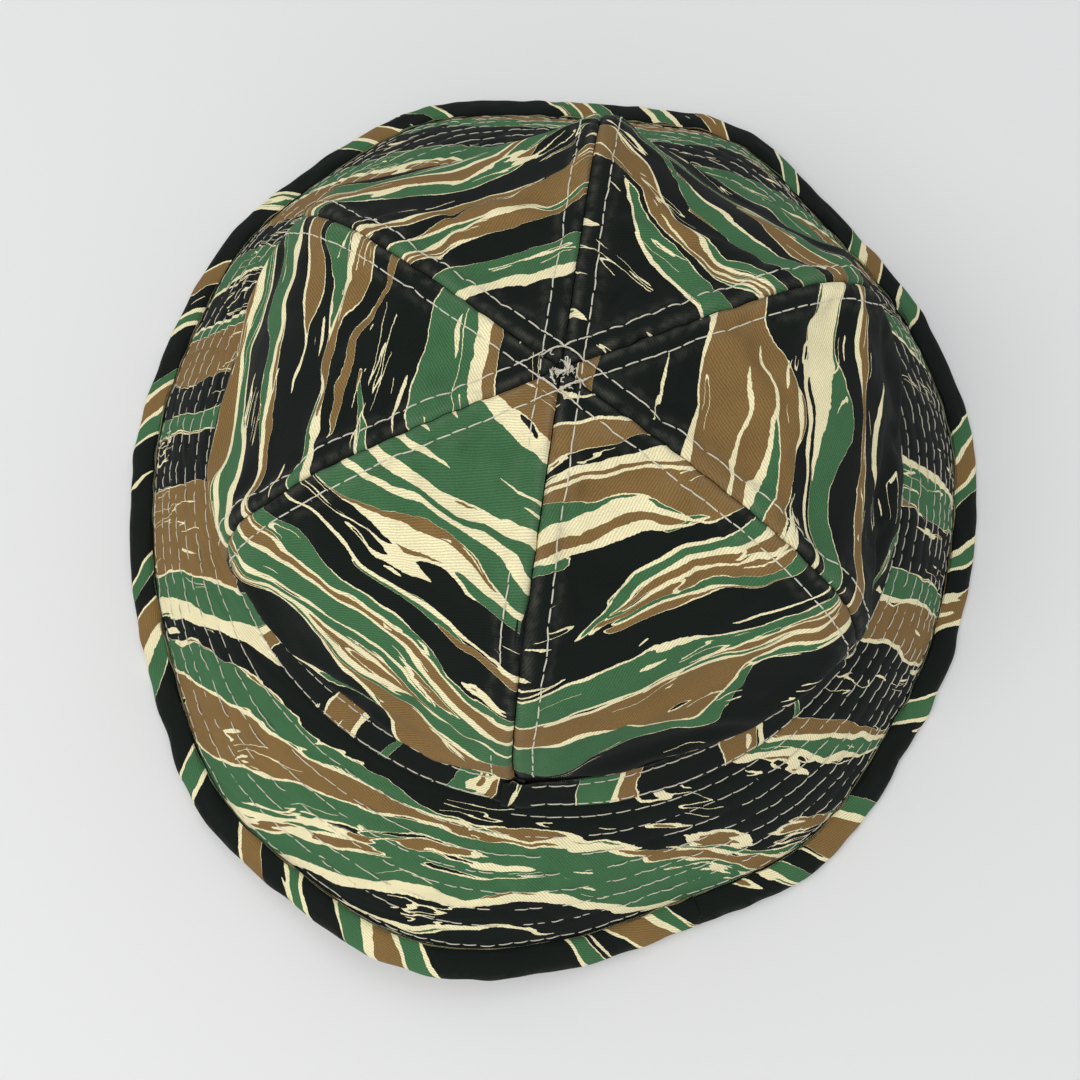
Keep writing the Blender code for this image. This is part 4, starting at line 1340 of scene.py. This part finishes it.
def add_lights():
    add_light("soft_key", (-0.55, -0.45, 1.05), 0.7, 5.0, (1.0, 0.98, 0.95))
    add_light("overhead_fill", (0.5, 0.5, 1.3), 1.2, 1.5, (0.96, 0.98, 1.0))
    add_light("back_fill", (0.2, -1.2, 0.75), 1.0, 1.5)
    world = bpy.data.worlds.new("pale_room")
    world.use_nodes = True
    world.node_tree.nodes["Background"].inputs[0].default_value = (0.95, 0.97, 1.0, 1.0)
    world.node_tree.nodes["Background"].inputs[1].default_value = 0.72
    bpy.context.scene.world = world


def add_camera():
    """From above and behind the hat, a little to its right, close enough to crown the view."""
    azimuth, elevation = CAMERA_AZIMUTH, CAMERA_ELEVATION
    level = math.cos(elevation)
    away = Vector((math.sin(azimuth) * level, -math.cos(azimuth) * level, math.sin(elevation)))
    data = bpy.data.cameras.new("camera")
    data.sensor_width = 36.0
    data.lens = CAMERA_LENS
    data.shift_x, data.shift_y = CAMERA_SHIFT
    data.clip_start = 0.01
    camera = bpy.data.objects.new("camera", data)
    camera.location = away * CAMERA_DISTANCE
    camera.rotation_euler = (-away).to_track_quat("-Z", "Y").to_euler()
    bpy.context.scene.collection.objects.link(camera)
    bpy.context.scene.camera = camera


# ------------------------------------------------------------------ assembly


def build_hat():
    tiger_stripe_group()
    twill_group()
    thread = thread_material()
    black_tape = plain_cloth("black_tape", TAPE_BLACK, 0.0009, 0.88)
    black_twill = plain_cloth("black_twill", TAPE_BLACK, 0.0011, 0.9)
    stiffener = plain_cloth("stiffener", STIFFENER, 0.0007, 0.95)
    for number, name in enumerate(GORE_NAMES):
        face, reverse = camo_materials("camo_gore_" + name, GORE_PLANS[name], 3.0 * number)
        add_gore(number, face, reverse)
    add_tapes(black_tape)
    add_sweatband(black_twill)
    add_seam_stitches(thread)
    add_apex_thread_ends(thread)
    trim, _ = camo_materials("camo_trim", TRIM_PLAN, 61.0, repeat=TRIM_REPEAT)
    binding, _ = camo_materials("camo_binding", BINDING_PLAN, 71.0, repeat=BINDING_REPEAT)
    add_hat_band(trim, thread)
    brim, _ = camo_materials("camo_brim", BRIM_PLAN, 83.0, BRIM_PLAN_SPAN)
    under, _ = camo_materials("camo_brim_under", UNDER_PLAN, 97.0, BRIM_PLAN_SPAN)
    add_brim(brim, under, stiffener)
    add_brim_stitches(thread)
    add_binding(binding)


cad_low = np.array(cad_box[0])
bpy.context.scene.view_settings.view_transform = "Standard"
build_hat()
add_stage()
add_lights()
add_camera()
